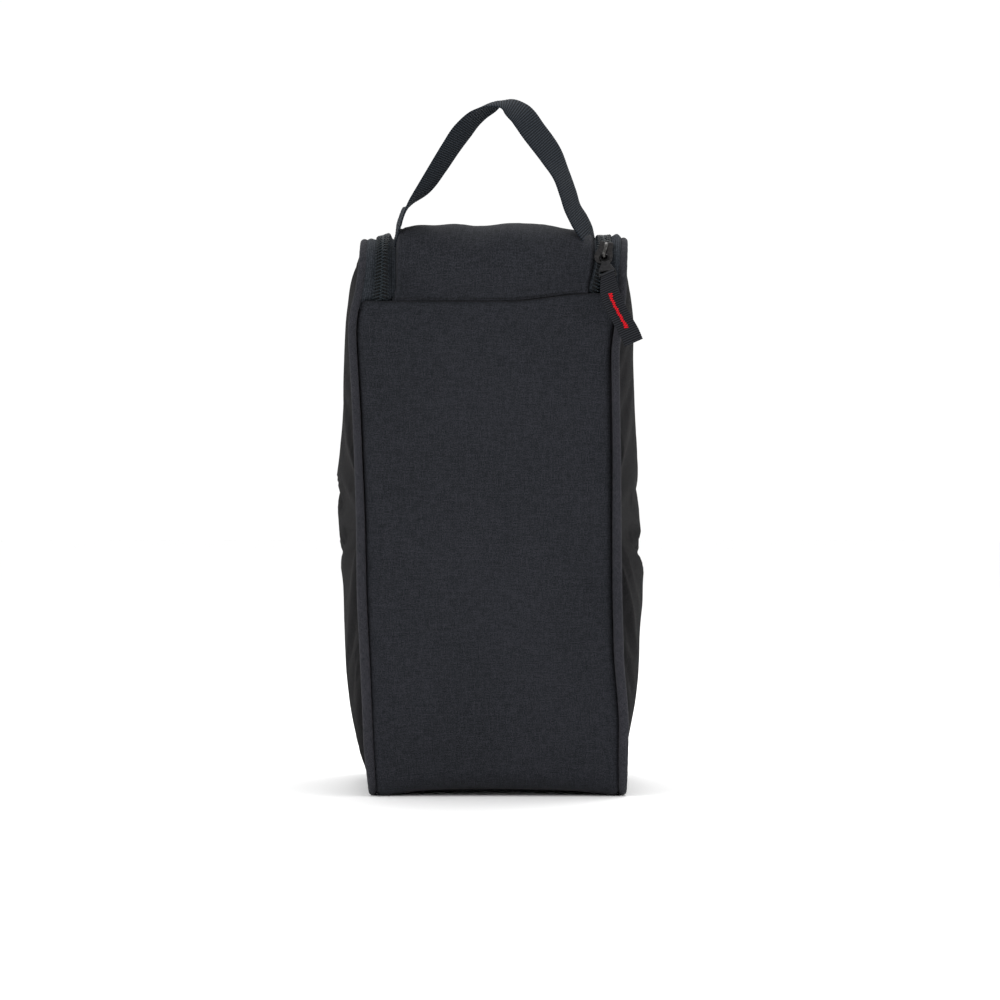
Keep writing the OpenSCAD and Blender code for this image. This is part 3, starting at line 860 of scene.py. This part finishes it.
def seam_binding(side):
    """Tape folded over the seam's raw edges, standing inwards all round."""
    name = side_name(side)
    inner, outer = 11.6, 4.6
    x0, x1 = 74.0, 76.0
    sections = [(x0, outer), (x1, outer), (x1, inner - 0.6), ((x0 + x1) / 2, inner), (x0, inner - 0.6)]
    rings = [loop_path(side * x, inset, 4.0)[0] for x, inset in sections]
    points = np.stack(rings, 1)
    faces = grid_faces(len(points), len(sections), True, True)
    if side > 0:
        faces = [f[::-1] for f in faces]
    _, s = loop_path(0, 0, 4.0)
    uv = grid_of(np.arange(len(sections)) * 4.0, s[:, None])
    obj = make_mesh(f"{name}_binding", points, faces, BINDING, uv)
    finish_piece(obj, "bag", "binding_tape", f"{name}_seam_binding")


# ---------------------------------------------------------------- zip

def zip_path(step):
    """The middle line of the zip from its right end to its left end, with its outward side and normal."""
    turn_x, turn_y = ZIP_X - ZIP_TURN_R, ZIP_BACK - ZIP_TURN_R
    s = np.arange(S_HINGE + ZIP_START, S_TOP + turn_y - ARC_Y, step)
    y, z = on_side_view(s)
    _, _, _, ny, nz = SIDE_VIEW
    normal = [0.0, np.interp(s, SIDE_VIEW[0], ny), np.interp(s, SIDE_VIEW[0], nz)]
    angles = np.arange(0, math.pi / 2, step / ZIP_TURN_R)
    outward = [np.cos(angles), np.sin(angles), 0.0]
    across = np.arange(turn_x, 0, -step)
    turn = [turn_x + ZIP_TURN_R * outward[0], turn_y + ZIP_TURN_R * outward[1], BODY_H]
    half = [
        ([ZIP_X, y, z], [1.0, 0.0, 0 * y], normal),
        (turn, outward, [0.0, 0.0, 1 + 0 * angles]),
        ([across, ZIP_BACK, BODY_H], [0.0, 1.0, 0 * across], [0.0, 0.0, 1 + 0 * across]),
    ]
    joined = [np.concatenate([np.stack(np.broadcast_arrays(*part[k]), -1) for part in half])
              for k in range(3)]
    p, side, up = [np.concatenate([a, a[::-1] * [-1.0, 1, 1]]) for a in joined]
    return travel(p), p, side, up


ZIP_START = -5.0                            # the zip's ends lie under the front panel's hem
ZIP = zip_path(0.5)
ZIP_LENGTH = ZIP[0][-1]
SLIDER_AT = 33.0                            # along the zip, from its right end to the slider's mouth
# Along the zip, to just before the back cloth starts beside it.
ZIP_SIDE_RUN = S_TOP + ZIP_BACK - ZIP_TURN_R - 20 - ARC_Y - S_HINGE - ZIP_START


def on_zip(q, off, out):
    """Points at distance q along the zip, off to its outer side and out from the outline."""
    length, p, side, up = ZIP
    q, off, out = np.broadcast_arrays(q, off, out)
    sideways = unit(read_off(q, length, side)) * off[..., None]
    outwards = unit(read_off(q, length, up)) * out[..., None]
    return settle(read_off(q, length, p) + sideways + outwards)


def spread(q, strand=-1):
    """How far an open strand stands off the zip's line below the slider. The bag's strand is 1."""
    return 3.7 * (1 - ease((q - 10) / (SLIDER_AT - 12))) * (1.0 if strand < 0 else 0.9)


def buried(q):
    """How deep the zip's ends lie under the front hem, easing to 0 where they come out."""
    right = 1 - ease((q + ZIP_START - 4.2) / 3.5)
    left = 1 - ease((ZIP_LENGTH - q + ZIP_START + 0.6) / 3.5)
    return 2.4 * np.maximum(right, left)


def strand_name(strand):
    return "bag" if strand > 0 else "flap"


def along_strand(name, strand, q, off, out, radius, material, sides, flat=1.0):
    """A bar along one strand, off to its side and out from the outline."""
    off = strand * (off + spread(q, strand))
    out = out - buried(q)
    points = on_zip(q, off, out)
    return tube(name, points, radius, material, sides, on_zip(q, off, out + 1.0) - points, flat=flat)


def coil(strand):
    """One strand of nylon coil as a real helix, its heads reaching past the middle line."""
    pitch, per_turn = 2.0, 14
    k = np.arange(int((ZIP_LENGTH - 4) / pitch) * per_turn)
    phase = 2 * math.pi * k / per_turn
    reach = np.cos(phase)
    q = 2 + pitch * (k / per_turn) + (pitch / 2 if strand < 0 else 0) - 0.5 * reach
    out = 0.1 + 0.52 * np.sin(phase) * (1 - 0.25 * (reach < -0.2) * (-reach))
    radius = 0.42 * (1 + 0.2 * np.clip(reach, 0, 1) ** 6)
    name = f"zip_coil_{strand_name(strand)}"
    return along_strand(name, strand, q, 1.62 - 2.3 * reach, out, radius, COIL, 7)


def coil_stitches(strand, row):
    """A thread that sews a strand of coil to its tape, over the coil."""
    q = np.arange(2.5, ZIP_LENGTH - 3, 0.5)
    off = (2.35, 3.15)[row] + 0.12 * np.sin(q * math.pi + row)
    out = 0.86 + 0.14 * np.cos(q * math.pi)
    name = f"zip_stitches_{strand_name(strand)}_{row + 1}"
    return along_strand(name, strand, q, off, out, 0.17, COIL_THREAD, 5)


def coil_core(strand):
    """The cord that runs inside a strand of coil, coloured near black: painted shade for the gaps between
    the coil's loops.
    """
    q = np.arange(2.5, ZIP_LENGTH - 3, 1.0)
    return along_strand(f"zip_core_{strand_name(strand)}", strand, q, 1.75, -0.05, 1.5, GAP_SHADE_CORE, 8, 0.26)


def zip_tape(strand):
    """The woven tape under a strand. The bag's climbs to the piping, the flap's dips under the hem."""
    q = np.linspace(0, ZIP_LENGTH, int(ZIP_LENGTH))[:, None]
    off = np.linspace(0.75, 9.9 if strand > 0 else 8.2, 17)[None]
    beside_piping = 1 - ease((np.minimum(q, ZIP_LENGTH - q) - ZIP_SIDE_RUN) / 5)
    if strand > 0:
        climb = 0.95 * beside_piping * ease((off - 4.2) / 3.4)
        pull = spread(q, strand) * (1 - ease((off - 4) / 4))
    else:
        climb = -1.9 * ease((off - 4.0) / 2)
        pull = spread(q, strand)
    points = on_zip(q, strand * (off + pull), climb - 0.95 - buried(q))
    faces = grid_faces(q.size, off.size)
    if strand < 0:
        faces = [f[::-1] for f in faces]
    obj = make_mesh(f"zip_tape_{strand_name(strand)}", points, faces, TAPE, grid_of(off, q))
    thicken(obj, 0.6)
    return obj


def make_zip():
    for strand, body in ((1, "bag"), (-1, None)):
        side = strand_name(strand)
        for obj in (coil(strand), coil_core(strand), coil_stitches(strand, 0), coil_stitches(strand, 1)):
            finish_piece(obj, body, "zip_coil", f"zip_coil_{side}_side")
        finish_piece(zip_tape(strand), body, "zip_tape", f"zip_tape_{side}_side")


# ---------------------------------------------------------------- lid flap

FLAP_HEM = ZIP_X - FLAP_HALF                # from the middle of the zip to the flap's folded edge
FLAP_BACK = ZIP_BACK - FLAP_HEM
FLAP_TURN = ZIP_TURN_R - FLAP_HEM
S_FLAP = S_HINGE - 0.3
S_FLAP_END = S_TOP + FLAP_BACK - ARC_Y

# Across the flap, and how much its top edge stands above or below a plain crown there.
FLAP_RIDGE = ([-50, -38, -26, -20, -8, 5, 16, 28, 34, 41, 50],
              [1.1, 0.2, -0.9, -1.0, 0.5, 0.5, 0.5, -1.3, -1.5, -1.3, -0.3])

# The soft folds down the flap's front strip.
flap_fold_at = curve_through([-64, -50, -38, -24, -8, 6, 18, 32, 50, 64],
                             [0.2, -1.1, 0.4, 0.9, 0.3, -1.1, 0.5, 0.8, -0.9, 0.1])


def flap_edges(s):
    """The flap's left and right edge at arc length s."""
    past = np.clip(s - (S_FLAP_END - FLAP_TURN), 0, FLAP_TURN)
    half = FLAP_HALF - FLAP_TURN + np.sqrt(np.maximum(FLAP_TURN**2 - past**2, 0))
    right = half - 0.95 * spread(s - S_HINGE - ZIP_START)
    left = -half + 2.2 * ease((s - S_HINGE + 2) / 10) * (1 - ease((s - S_HINGE - 48) / 20))
    return left, right


def flap_panel():
    """The padded-looking lid: high in its middle, with soft folds down its front strip."""
    rows, columns = 170, 110
    u = np.linspace(-1, 1, columns)
    u = np.sign(u) * (1 - (1 - np.abs(u)) ** 1.3)
    share = np.linspace(0, 1, rows)
    share = share - 0.06 * np.sin(share * math.pi) * (1 - share)
    s0 = S_FLAP + seam_height(u * FLAP_HALF)
    turned = np.sin(np.clip((share - 0.86) / 0.14, 0, 1) * math.pi / 2) * 0.14
    share = np.where(share > 0.86, 0.86 + turned, share)
    s = s0[None] + share[:, None] * (S_FLAP_END - s0[None])
    left, right = flap_edges(s)
    x = (left + right) / 2 + u[None] * (right - left) / 2
    from_seam = s - s0[None]
    to_back = S_FLAP_END - s
    near_edge = np.minimum(x - left, right - x)
    over_top = ease(from_seam / 42)
    clear_of_edge = ease(near_edge / 10)
    top_crown = 8.6 * (1 - np.abs(u) ** 6)[None]
    front_crown = 4.2 * (1 - np.abs(u) ** 3.2)[None]
    back_crown = 1 - 0.35 * ease((from_seam - 62) / 40)
    out = front_crown * ease(from_seam / 12) * (1 - over_top) + top_crown * over_top
    out = out * ease(to_back / 42) * back_crown
    waves = 0.55 * np.cos((x + 24) * 2 * math.pi / 49) + 0.35 * np.cos((x - 6) * 2 * math.pi / 27)
    front = ease(from_seam / 8) * (1 - 0.75 * ease((from_seam - 40) / 40))
    out = out + 1.7 * waves * front * clear_of_edge
    out = out + np.interp(x, *FLAP_RIDGE) * over_top * ease(to_back / 60) * ease(near_edge / 6)
    place = wrapped(s, x)
    creases = rough(place * [1, 0.6, 1], 34, 11) * ease(near_edge / 14) * ease(from_seam / 6)
    out = out + 1.6 * creases * ease(to_back / 10)
    dimples = rough(place, 12, 12) * ease(near_edge / 6) * ease(from_seam / 4)
    out = out + 0.5 * dimples * ease(to_back / 6)
    strip = ease(from_seam / 12) * (1 - ease((from_seam - 14) / 27))
    out = out + 2.8 * flap_fold_at(x) * strip * ease(near_edge / 8)
    # The cloth puffs out beside the zip and turns in at its hems.
    beside_zip = ease((from_seam - 3) / 9) * (1 - ease((from_seam - 46) / 18))
    out = out + (2.6 * np.exp(-np.square((x - left) / 9)) - 2.0 * (1 - ease((x - left) / 2.2))) * beside_zip
    out = out - 1.1 * (1 - ease(near_edge / 1.3)) - 1.1 * (1 - ease(to_back / 1.3))
    out = out - 1.0 * (1 - ease(from_seam / 1.2)) + 0.45 * np.exp(-np.square((from_seam - 2.4) / 1.4))
    from_hem = np.minimum(near_edge, to_back)
    out = out + 0.5 * np.exp(-np.square((from_hem - 1.9) / 0.9))
    out = out - 0.35 * np.exp(-np.square((from_hem - 3.8) / 0.7))
    shell_cloth("flap_cloth", s, x, out, None, "flap_panel")


def hinge_stitches():
    """Topstitching just above the hinge seam."""
    x = np.linspace(-PANEL_HALF + 14, FLAP_HALF - 8, 200)
    s = S_FLAP + seam_height(x) + 1.5
    points = wrapped(s, x, 0.5 + 0.3 * (1 - np.abs(x / FLAP_HALF) ** 6))
    normals = np.tile([0.0, -1, 0], (len(x), 1))
    finish_piece(stitch_row("hinge_topstitch", points, normals, SEAM_THREAD), None, "shell_fabric")


# ---------------------------------------------------------------- webbing handle

HANDLE_X = 60.0
HANDLE_Y = -82.0
WEBBING_W = 25.0
WEBBING_T = 1.5
# Centre, then how far the front edge points to the right and up.
HANDLE_ROUTE = [
    ((-HANDLE_X - 0.4, HANDLE_Y + 3, 334.5), (0.02, -0.21)),
    ((-HANDLE_X + 1, HANDLE_Y + 2, 341.5), (0.04, -0.21)),
    ((-57.9, -81.4, 347), (0.08, -0.2)),
    ((-56.6, -82, 351), (0.1, -0.16)),
    ((-54.7, -84, 355.2), (0.1, -0.12)),
    ((-50.6, -85.5, 360.6), (0.0, 0.0)),
    ((-41.8, -87.5, 370.2), (-0.21, 0.15)),
    ((-33, -90, 383), (-0.28, 0.2)),
    ((-25.8, -92, 394), (-0.3, 0.22)),
    ((-18.4, -94, 404.3), (-0.29, 0.26)),
    ((-10.6, -95.5, 412.6), (-0.15, 0.24)),
    ((-2.6, -96.5, 417.6), (-0.04, 0.1)),
    ((6.7, -97, 420), (-0.32, -0.27)),
    ((15.6, -96.5, 415.2), (-0.46, -0.4)),
    ((25.2, -95, 403.3), (-0.52, -0.38)),
    ((35.7, -92.5, 389), (-0.5, -0.32)),
    ((41.5, -90.5, 378), (-0.41, -0.2)),
    ((45.6, -88, 367), (-0.41, -0.15)),
    ((49, -85.5, 357), (-0.4, -0.18)),
    ((53, -84, 350), (-0.42, -0.24)),
    ((56.6, -83, 344), (-0.36, -0.24)),
    ((HANDLE_X + 0.4, HANDLE_Y + 1, 336.5), (-0.2, -0.21)),
]


def smooth_rows(rows, step):
    """Rows of numbers, the first three a place, joined by a smooth curve and sampled evenly."""
    rows = np.asarray(rows, float)
    length = travel(rows[:, :3])
    slope = np.gradient(rows, length, axis=0)
    s = np.linspace(0, length[-1], int(length[-1] / step))
    k = np.clip(np.searchsorted(length, s, side="right") - 1, 0, len(rows) - 2)
    h = (length[k + 1] - length[k])[:, None]
    t = ((s - length[k]) / h[:, 0])[:, None]
    return ((2 * t**3 - 3 * t**2 + 1) * rows[k] + (t**3 - 2 * t**2 + t) * h * slope[k]
            + (3 * t**2 - 2 * t**3) * rows[k + 1] + (t**3 - t**2) * h * slope[k + 1]), s


def ribbon(name, centre, width, half, thick, s, material, rib=0.2, skewed=False, cup=0.0):
    """Webbing along a path: width is the unit vector to its front edge, half is half its width.

    A skewed ribbon keeps the given width vector, even where that isn't square to the path. cup is
    how far its edges bow away from its middle.
    """
    tangent = tangents_along(centre)
    if not skewed:
        width = unit(width - tangent * (width * tangent).sum(1)[:, None])
    normal = unit(np.cross(tangent, width))
    across = 22
    turn = np.linspace(0, 2 * math.pi, 2 * across, endpoint=False)
    w_share = np.sign(np.cos(turn)) * np.abs(np.cos(turn)) ** 0.55
    t_share = np.sign(np.sin(turn)) * np.abs(np.sin(turn)) ** 0.4
    ribs = rib * (np.abs(np.sin(s * math.pi / RIB_PITCH)) - 0.5)
    selvedge = 0.08 * np.cos(s * 2 * math.pi / RIB_PITCH)
    half = np.broadcast_to(half, s.shape) + selvedge
    lift = thick / 2 + ribs[:, None] * (np.abs(w_share) < 0.96)[None]
    bow = np.broadcast_to(cup, s.shape)[:, None] * (w_share**2 - 0.6)[None]
    points = (centre[:, None] + width[:, None] * (half[:, None] * w_share[None])[..., None]
              + normal[:, None] * (lift * t_share[None] + bow)[..., None])
    uv = grid_of(w_share[None] * WEBBING_W / 2, s[:, None])
    sides = len(turn)
    faces = grid_faces(len(s), sides, False, True)
    faces += [tuple(range(sides - 1, -1, -1)), tuple(range((len(s) - 1) * sides, len(s) * sides))]
    return make_mesh(name, points, faces, material, uv)


def handle():
    rows = [[*c, w[0], -math.sqrt(1 - w[0] ** 2 - w[1] ** 2), w[1]] for c, w in HANDLE_ROUTE]
    path, s = smooth_rows(rows, 0.24)
    cup = 3.4 * np.exp(-np.square((path[:, 0] - 1) / 9)) * (path[:, 2] > 400)
    obj = ribbon("handle_webbing", path[:, :3], path[:, 3:6], WEBBING_W / 2, WEBBING_T, s, WEBBING, cup=cup)
    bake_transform(obj)
    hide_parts("handle_strap")


# ---------------------------------------------------------------- slider and pull

SLIDER_ANGLE = 30.0
TAB_LEAN = 8.5
SLIDER_LEN = 16.0
SLIDER_LEAN = 12.0                         # its nose leans outwards, turned about the tab's pin
PIN_U = -2.8                               # the pin, along the slider from its middle
BAR = -14.8                                # the tab's bar, down from the pin
PLATE_T = 1.3
FRONT_FACE = TOP_R + 1.35 + PLATE_T         # outside of the front plate, from the arc's centre
PIN_OUT = 25.45                             # the pin, from the arc's centre
BRIDGE_RISE = 2.1
ON_SLIDER = (Matrix.Translation(Vector((ZIP_X, ARC_Y, ARC_Z)) * MM)
             @ Matrix.Rotation(math.radians(-SLIDER_ANGLE), 4, "X"))
ON_TAB = (ON_SLIDER @ Matrix.Translation(Vector((0, -PIN_OUT, PIN_U)) * MM)
          @ Matrix.Rotation(math.radians(-TAB_LEAN), 4, "Y"))
ON_PLATE = (ON_SLIDER @ Matrix.Translation((0, 0, PIN_U * MM))
            @ Matrix.Rotation(math.radians(SLIDER_LEAN), 4, "Y") @ Matrix.Translation((0, 0, -PIN_U * MM)))
UPRIGHT = Matrix.Rotation(math.radians(90), 4, "X")   # a flat outline's y becomes z, its face -y


def rounded(corners, radius):
    """An outline with its corners rounded, as points. A corner may carry a radius of its own."""
    points = []
    count = len(corners)
    for k in range(count):
        a, b, c = (np.array(corners[(k + d) % count][:2], float) for d in (-1, 0, 1))
        r = corners[k][2] if len(corners[k]) > 2 else radius
        r = min(r, 0.45 * np.linalg.norm(a - b), 0.45 * np.linalg.norm(c - b))
        p = b + (a - b) / np.linalg.norm(a - b) * r
        q = b + (c - b) / np.linalg.norm(c - b) * r
        points += [(1 - t) ** 2 * p + 2 * t * (1 - t) * b + t * t * q for t in np.linspace(0, 1, 5)]
    return points


def plate(name, outlines, thickness, bevel, matrix, material):
    """A flat piece with rounded edges: the first outline is its edge and the others are holes."""
    data = bpy.data.curves.new(name, "CURVE")
    data.dimensions = "2D"
    data.fill_mode = "BOTH"
    for outline in outlines:
        spline = data.splines.new("POLY")
        spline.points.add(len(outline) - 1)
        for point, (x, y) in zip(spline.points, outline):
            point.co = (x * MM, y * MM, 0, 1)
        spline.use_cyclic_u = True
    data.extrude = (thickness / 2 - bevel) * MM
    data.bevel_depth = bevel * MM
    data.bevel_resolution = 3
    data.offset = -bevel * MM
    curve = bpy.data.objects.new(name + "_outline", data)
    bpy.context.scene.collection.objects.link(curve)
    bpy.context.view_layer.update()
    mesh = bpy.data.meshes.new_from_object(curve.evaluated_get(bpy.context.evaluated_depsgraph_get()))
    bpy.data.objects.remove(curve)
    mesh.name = name
    bm = bmesh.new()
    bm.from_mesh(mesh)
    bmesh.ops.remove_doubles(bm, verts=bm.verts, dist=1e-6)
    bmesh.ops.recalc_face_normals(bm, faces=bm.faces)
    bm.to_mesh(mesh)
    bm.free()
    mesh.transform(matrix)
    mesh.polygons.foreach_set("use_smooth", [True] * len(mesh.polygons))
    mesh.materials.clear()
    mesh.materials.append(material)
    obj = bpy.data.objects.new(name, mesh)
    bpy.context.scene.collection.objects.link(obj)
    return obj


def slider_outline(w, length=SLIDER_LEN):
    half = [(0.3 * w, -length / 2), (0.5 * w, -length * 0.34), (0.5 * w, -length * 0.08),
            (0.38 * w, length * 0.16), (0.38 * w, length / 2)]
    return rounded(half + [(-x, y) for x, y in half[::-1]], 1.4)


def local(points, matrix):
    """Millimetre points moved by a matrix in metres."""
    return np.array([matrix @ (Vector(p) * MM) for p in points]) / MM


def slider():
    inner = math.sqrt((TOP_R - 2.1 - 0.25) ** 2 - (SLIDER_LEN / 2) ** 2)
    gap_face = FRONT_FACE - PLATE_T
    post = rounded([(-0.6, -6.7), (0.6, -6.7), (0.6, -2), (-0.6, -2)], 0.4)
    depth = gap_face - inner + 0.6
    for name, outline, thickness, bevel, out in (
        ("front_plate", slider_outline(11), PLATE_T, 0.4, gap_face + PLATE_T / 2),
        ("back_plate", slider_outline(9.6), PLATE_T, 0.4, inner - PLATE_T / 2),
        ("post", post, depth, 0.1, inner + depth / 2 - 0.3),
    ):
        place = ON_PLATE @ Matrix.Translation((0, -out * MM, 0)) @ UPRIGHT
        obj = plate(f"slider_{name}", [outline], thickness, bevel, place, DARK_METAL)
        finish_piece(obj, "slider", "dark_metal", "slider_body")

    # The bridge rises from the nose, and its foot follows the swing of the tab's eye about the pin.
    foot, top = FRONT_FACE - 0.3, FRONT_FACE + BRIDGE_RISE
    reach = 2.0
    crown = [(0, -foot, 5.4), (0, -foot - 0.9, 5.5), (0, -top - 0.1, 4.6), (0, -top - 0.7, 2.6),
             (0, -top - 0.85, 0)]
    crown += [(0.25 * k, -(PIN_OUT + 0.4 + reach * math.sin(a)), PIN_U - reach * math.cos(a))
              for k, a in enumerate(np.radians([90, 60, 30, 0]))]
    crown.append((0.8, -foot, PIN_U - reach))
    path, s = smooth_rows(crown, 0.35)
    radius = 0.6 + 0.3 * np.cos((s / s[-1] - 0.25) * 3)
    bridge = tube("slider_crown", local(path, ON_PLATE), radius, BRIGHT_METAL, 14, (1, 0, 0), flat=1.5)
    finish_piece(bridge, "slider", "dark_metal", "slider_bridge")


def pull_tab():
    """An eye round the slider's bridge, a plate that widens downwards, and a slot for the webbing."""
    eye_r = 2.15
    angles = np.linspace(0, 2 * math.pi, 48, endpoint=False)
    eye = [(eye_r * math.sin(a), -0.15, eye_r * math.cos(a) - eye_r) for a in angles]
    facing = ON_TAB.to_3x3() @ Vector((0, -1, 0))
    ring = tube("pull_tab_eye", local(eye, ON_TAB), 0.92, BLACK_METAL, 16, facing, True)
    finish_piece(ring, "pull_tab", "dark_metal", "pull_tab")
    edge = [(-2.3, -3.9), (2.3, -3.9), (2.7, -6.6), (5.2, -11.2), (5.6, -15.7), (-5.6, -15.7),
            (-5.2, -11.2), (-2.7, -6.6)]
    slot = [(-4.5, -12), (-4.8, -13.8), (4.8, -13.8), (4.5, -12)]
    outlines = [rounded(edge, 1.2), rounded(slot, 0.6)]
    body = plate("pull_tab_plate", outlines, 1.5, 0.4, ON_TAB @ UPRIGHT, GUNMETAL)
    finish_piece(body, "pull_tab", "dark_metal")


def top_stop():
    """The metal stop at the open end of the bag's strand, tucked under the front hem."""
    tuck = 2.3
    centre = sum(box_mm("zip_top_stop_bag_side")) / 2 + [0, tuck, 0]
    outline = rounded([(-1.4, -1.4), (1.4, -1.4), (1.4, 1.4), (-1.4, 1.4)], 0.4)
    place = Matrix.Translation(Vector(centre) * MM) @ UPRIGHT
    stop = plate("zip_top_stop_clip", [outline], 1.8, 0.3, place, BLACK_METAL)
    finish_piece(stop, "bag", "dark_metal", "zip_top_stop_bag_side")


# The middle of the doubled webbing, from the tab's slot down to its free end.
PULLER_ROUTE = [(69.2, -109.5, 314.3), (69.7, -111.8, 308), (71.3, -113.9, 301.5), (74.9, -116, 293.5),
                (78.6, -117.6, 286.7), (81.9, -118.8, 280.8), (84.6, -119.8, 274.4)]
PULLER_TWIST = math.radians(24)


def puller():
    """A loop of webbing through the slot, its two layers sewn flat together."""
    width = np.array([math.cos(PULLER_TWIST), 0, math.sin(PULLER_TWIST)])
    layers, s = smooth_rows(PULLER_ROUTE, 0.36)
    normal = unit(np.cross(tangents_along(layers), width))
    if normal[0][1] > 0:
        normal = -normal
    bar = local([(0, 0, BAR)], ON_TAB)[0]
    apart = 0.62 + 0.9 * np.exp(-s / 3.0)
    front = layers + normal * apart[:, None]
    back = layers - normal * apart[:, None]
    axis = np.array(ON_TAB.to_3x3() @ Vector((1, 0, 0)))
    spoke = front[0] - bar
    spoke = unit(spoke - axis * (spoke @ axis)) * 1.75
    turns = [bar + np.array(Matrix.Rotation(angle, 3, Vector(axis)) @ Vector(spoke))
             for angle in np.radians(np.linspace(-18, -250, 30))]
    path = np.concatenate([front[::-1], turns, back[1:]])
    rows, s = smooth_rows(path[::3], 0.24)
    half = 4.3 + 1.6 * ease(np.abs(s - s[-1] / 2) / (s[-1] / 2) / 0.3)
    width_rows = np.tile(width, (len(rows), 1))
    obj = ribbon("puller_loop", rows, width_rows, half, 1.1, s, PULLER_WEBBING, 0.13, True)
    finish_piece(obj, "puller", "webbing", "puller_webbing")
    return front, normal, width


def bartack(front, normal, width):
    """Dense red zigzag stitching down the middle of the puller, wider at both ends."""
    length = travel(front)
    count = 34
    s = np.linspace(0.25 * length[-1], 0.78 * length[-1], count)
    reach = np.full(count, 0.72)
    reach[:4] = reach[-4:] = 1.1
    zigzag = reach * np.where(np.arange(count) % 2, 1, -1)
    wander = 0.22 * np.sin(np.arange(count) / count * 2 * math.pi * 5)
    points = read_off(s, length, front) + read_off(s, length, normal) * 0.86
    points = points + width * (zigzag + wander)[:, None]
    fine, _ = smooth_rows(points, 0.25)
    obj = tube("puller_red_stitches", fine, 0.33, RED_THREAD, 8, normal[0])
    finish_piece(obj, "puller", "red_thread", "puller_bartack")


# ---------------------------------------------------------------- CAD pieces that stay

def keep_cad(node, material):
    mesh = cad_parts[node].data
    mesh.materials.clear()
    mesh.materials.append(material)
    if "cloth" not in mesh.uv_layers:
        layer = mesh.uv_layers.new(name="cloth")
        for loop in mesh.loops:
            co = mesh.vertices[loop.vertex_index].co / MM
            layer.data[loop.index].uv = (co.x + co.z, co.y + co.z)


# ---------------------------------------------------------------- build

front_panel()
base_panel()
back_panel()
side_panel(-1, left_reach_at, left_seam_at, 6)
side_panel(1, right_reach_at, right_seam_at, 7)
for side in (-1, 1):
    piping(side)
    piping_filler(side)
    seam_binding(side)
make_zip()
flap_panel()
hinge_stitches()
handle()
slider()
pull_tab()
top_stop()
bartack(*puller())
for node in ("handle_tail_left", "handle_tail_right"):
    keep_cad(node, WEBBING)
keep_cad("hinge_seam_binding", BINDING)
keep_cad("zip_end_stop", BLACK_METAL)
keep_cad("slider_lock_spring", STEEL)
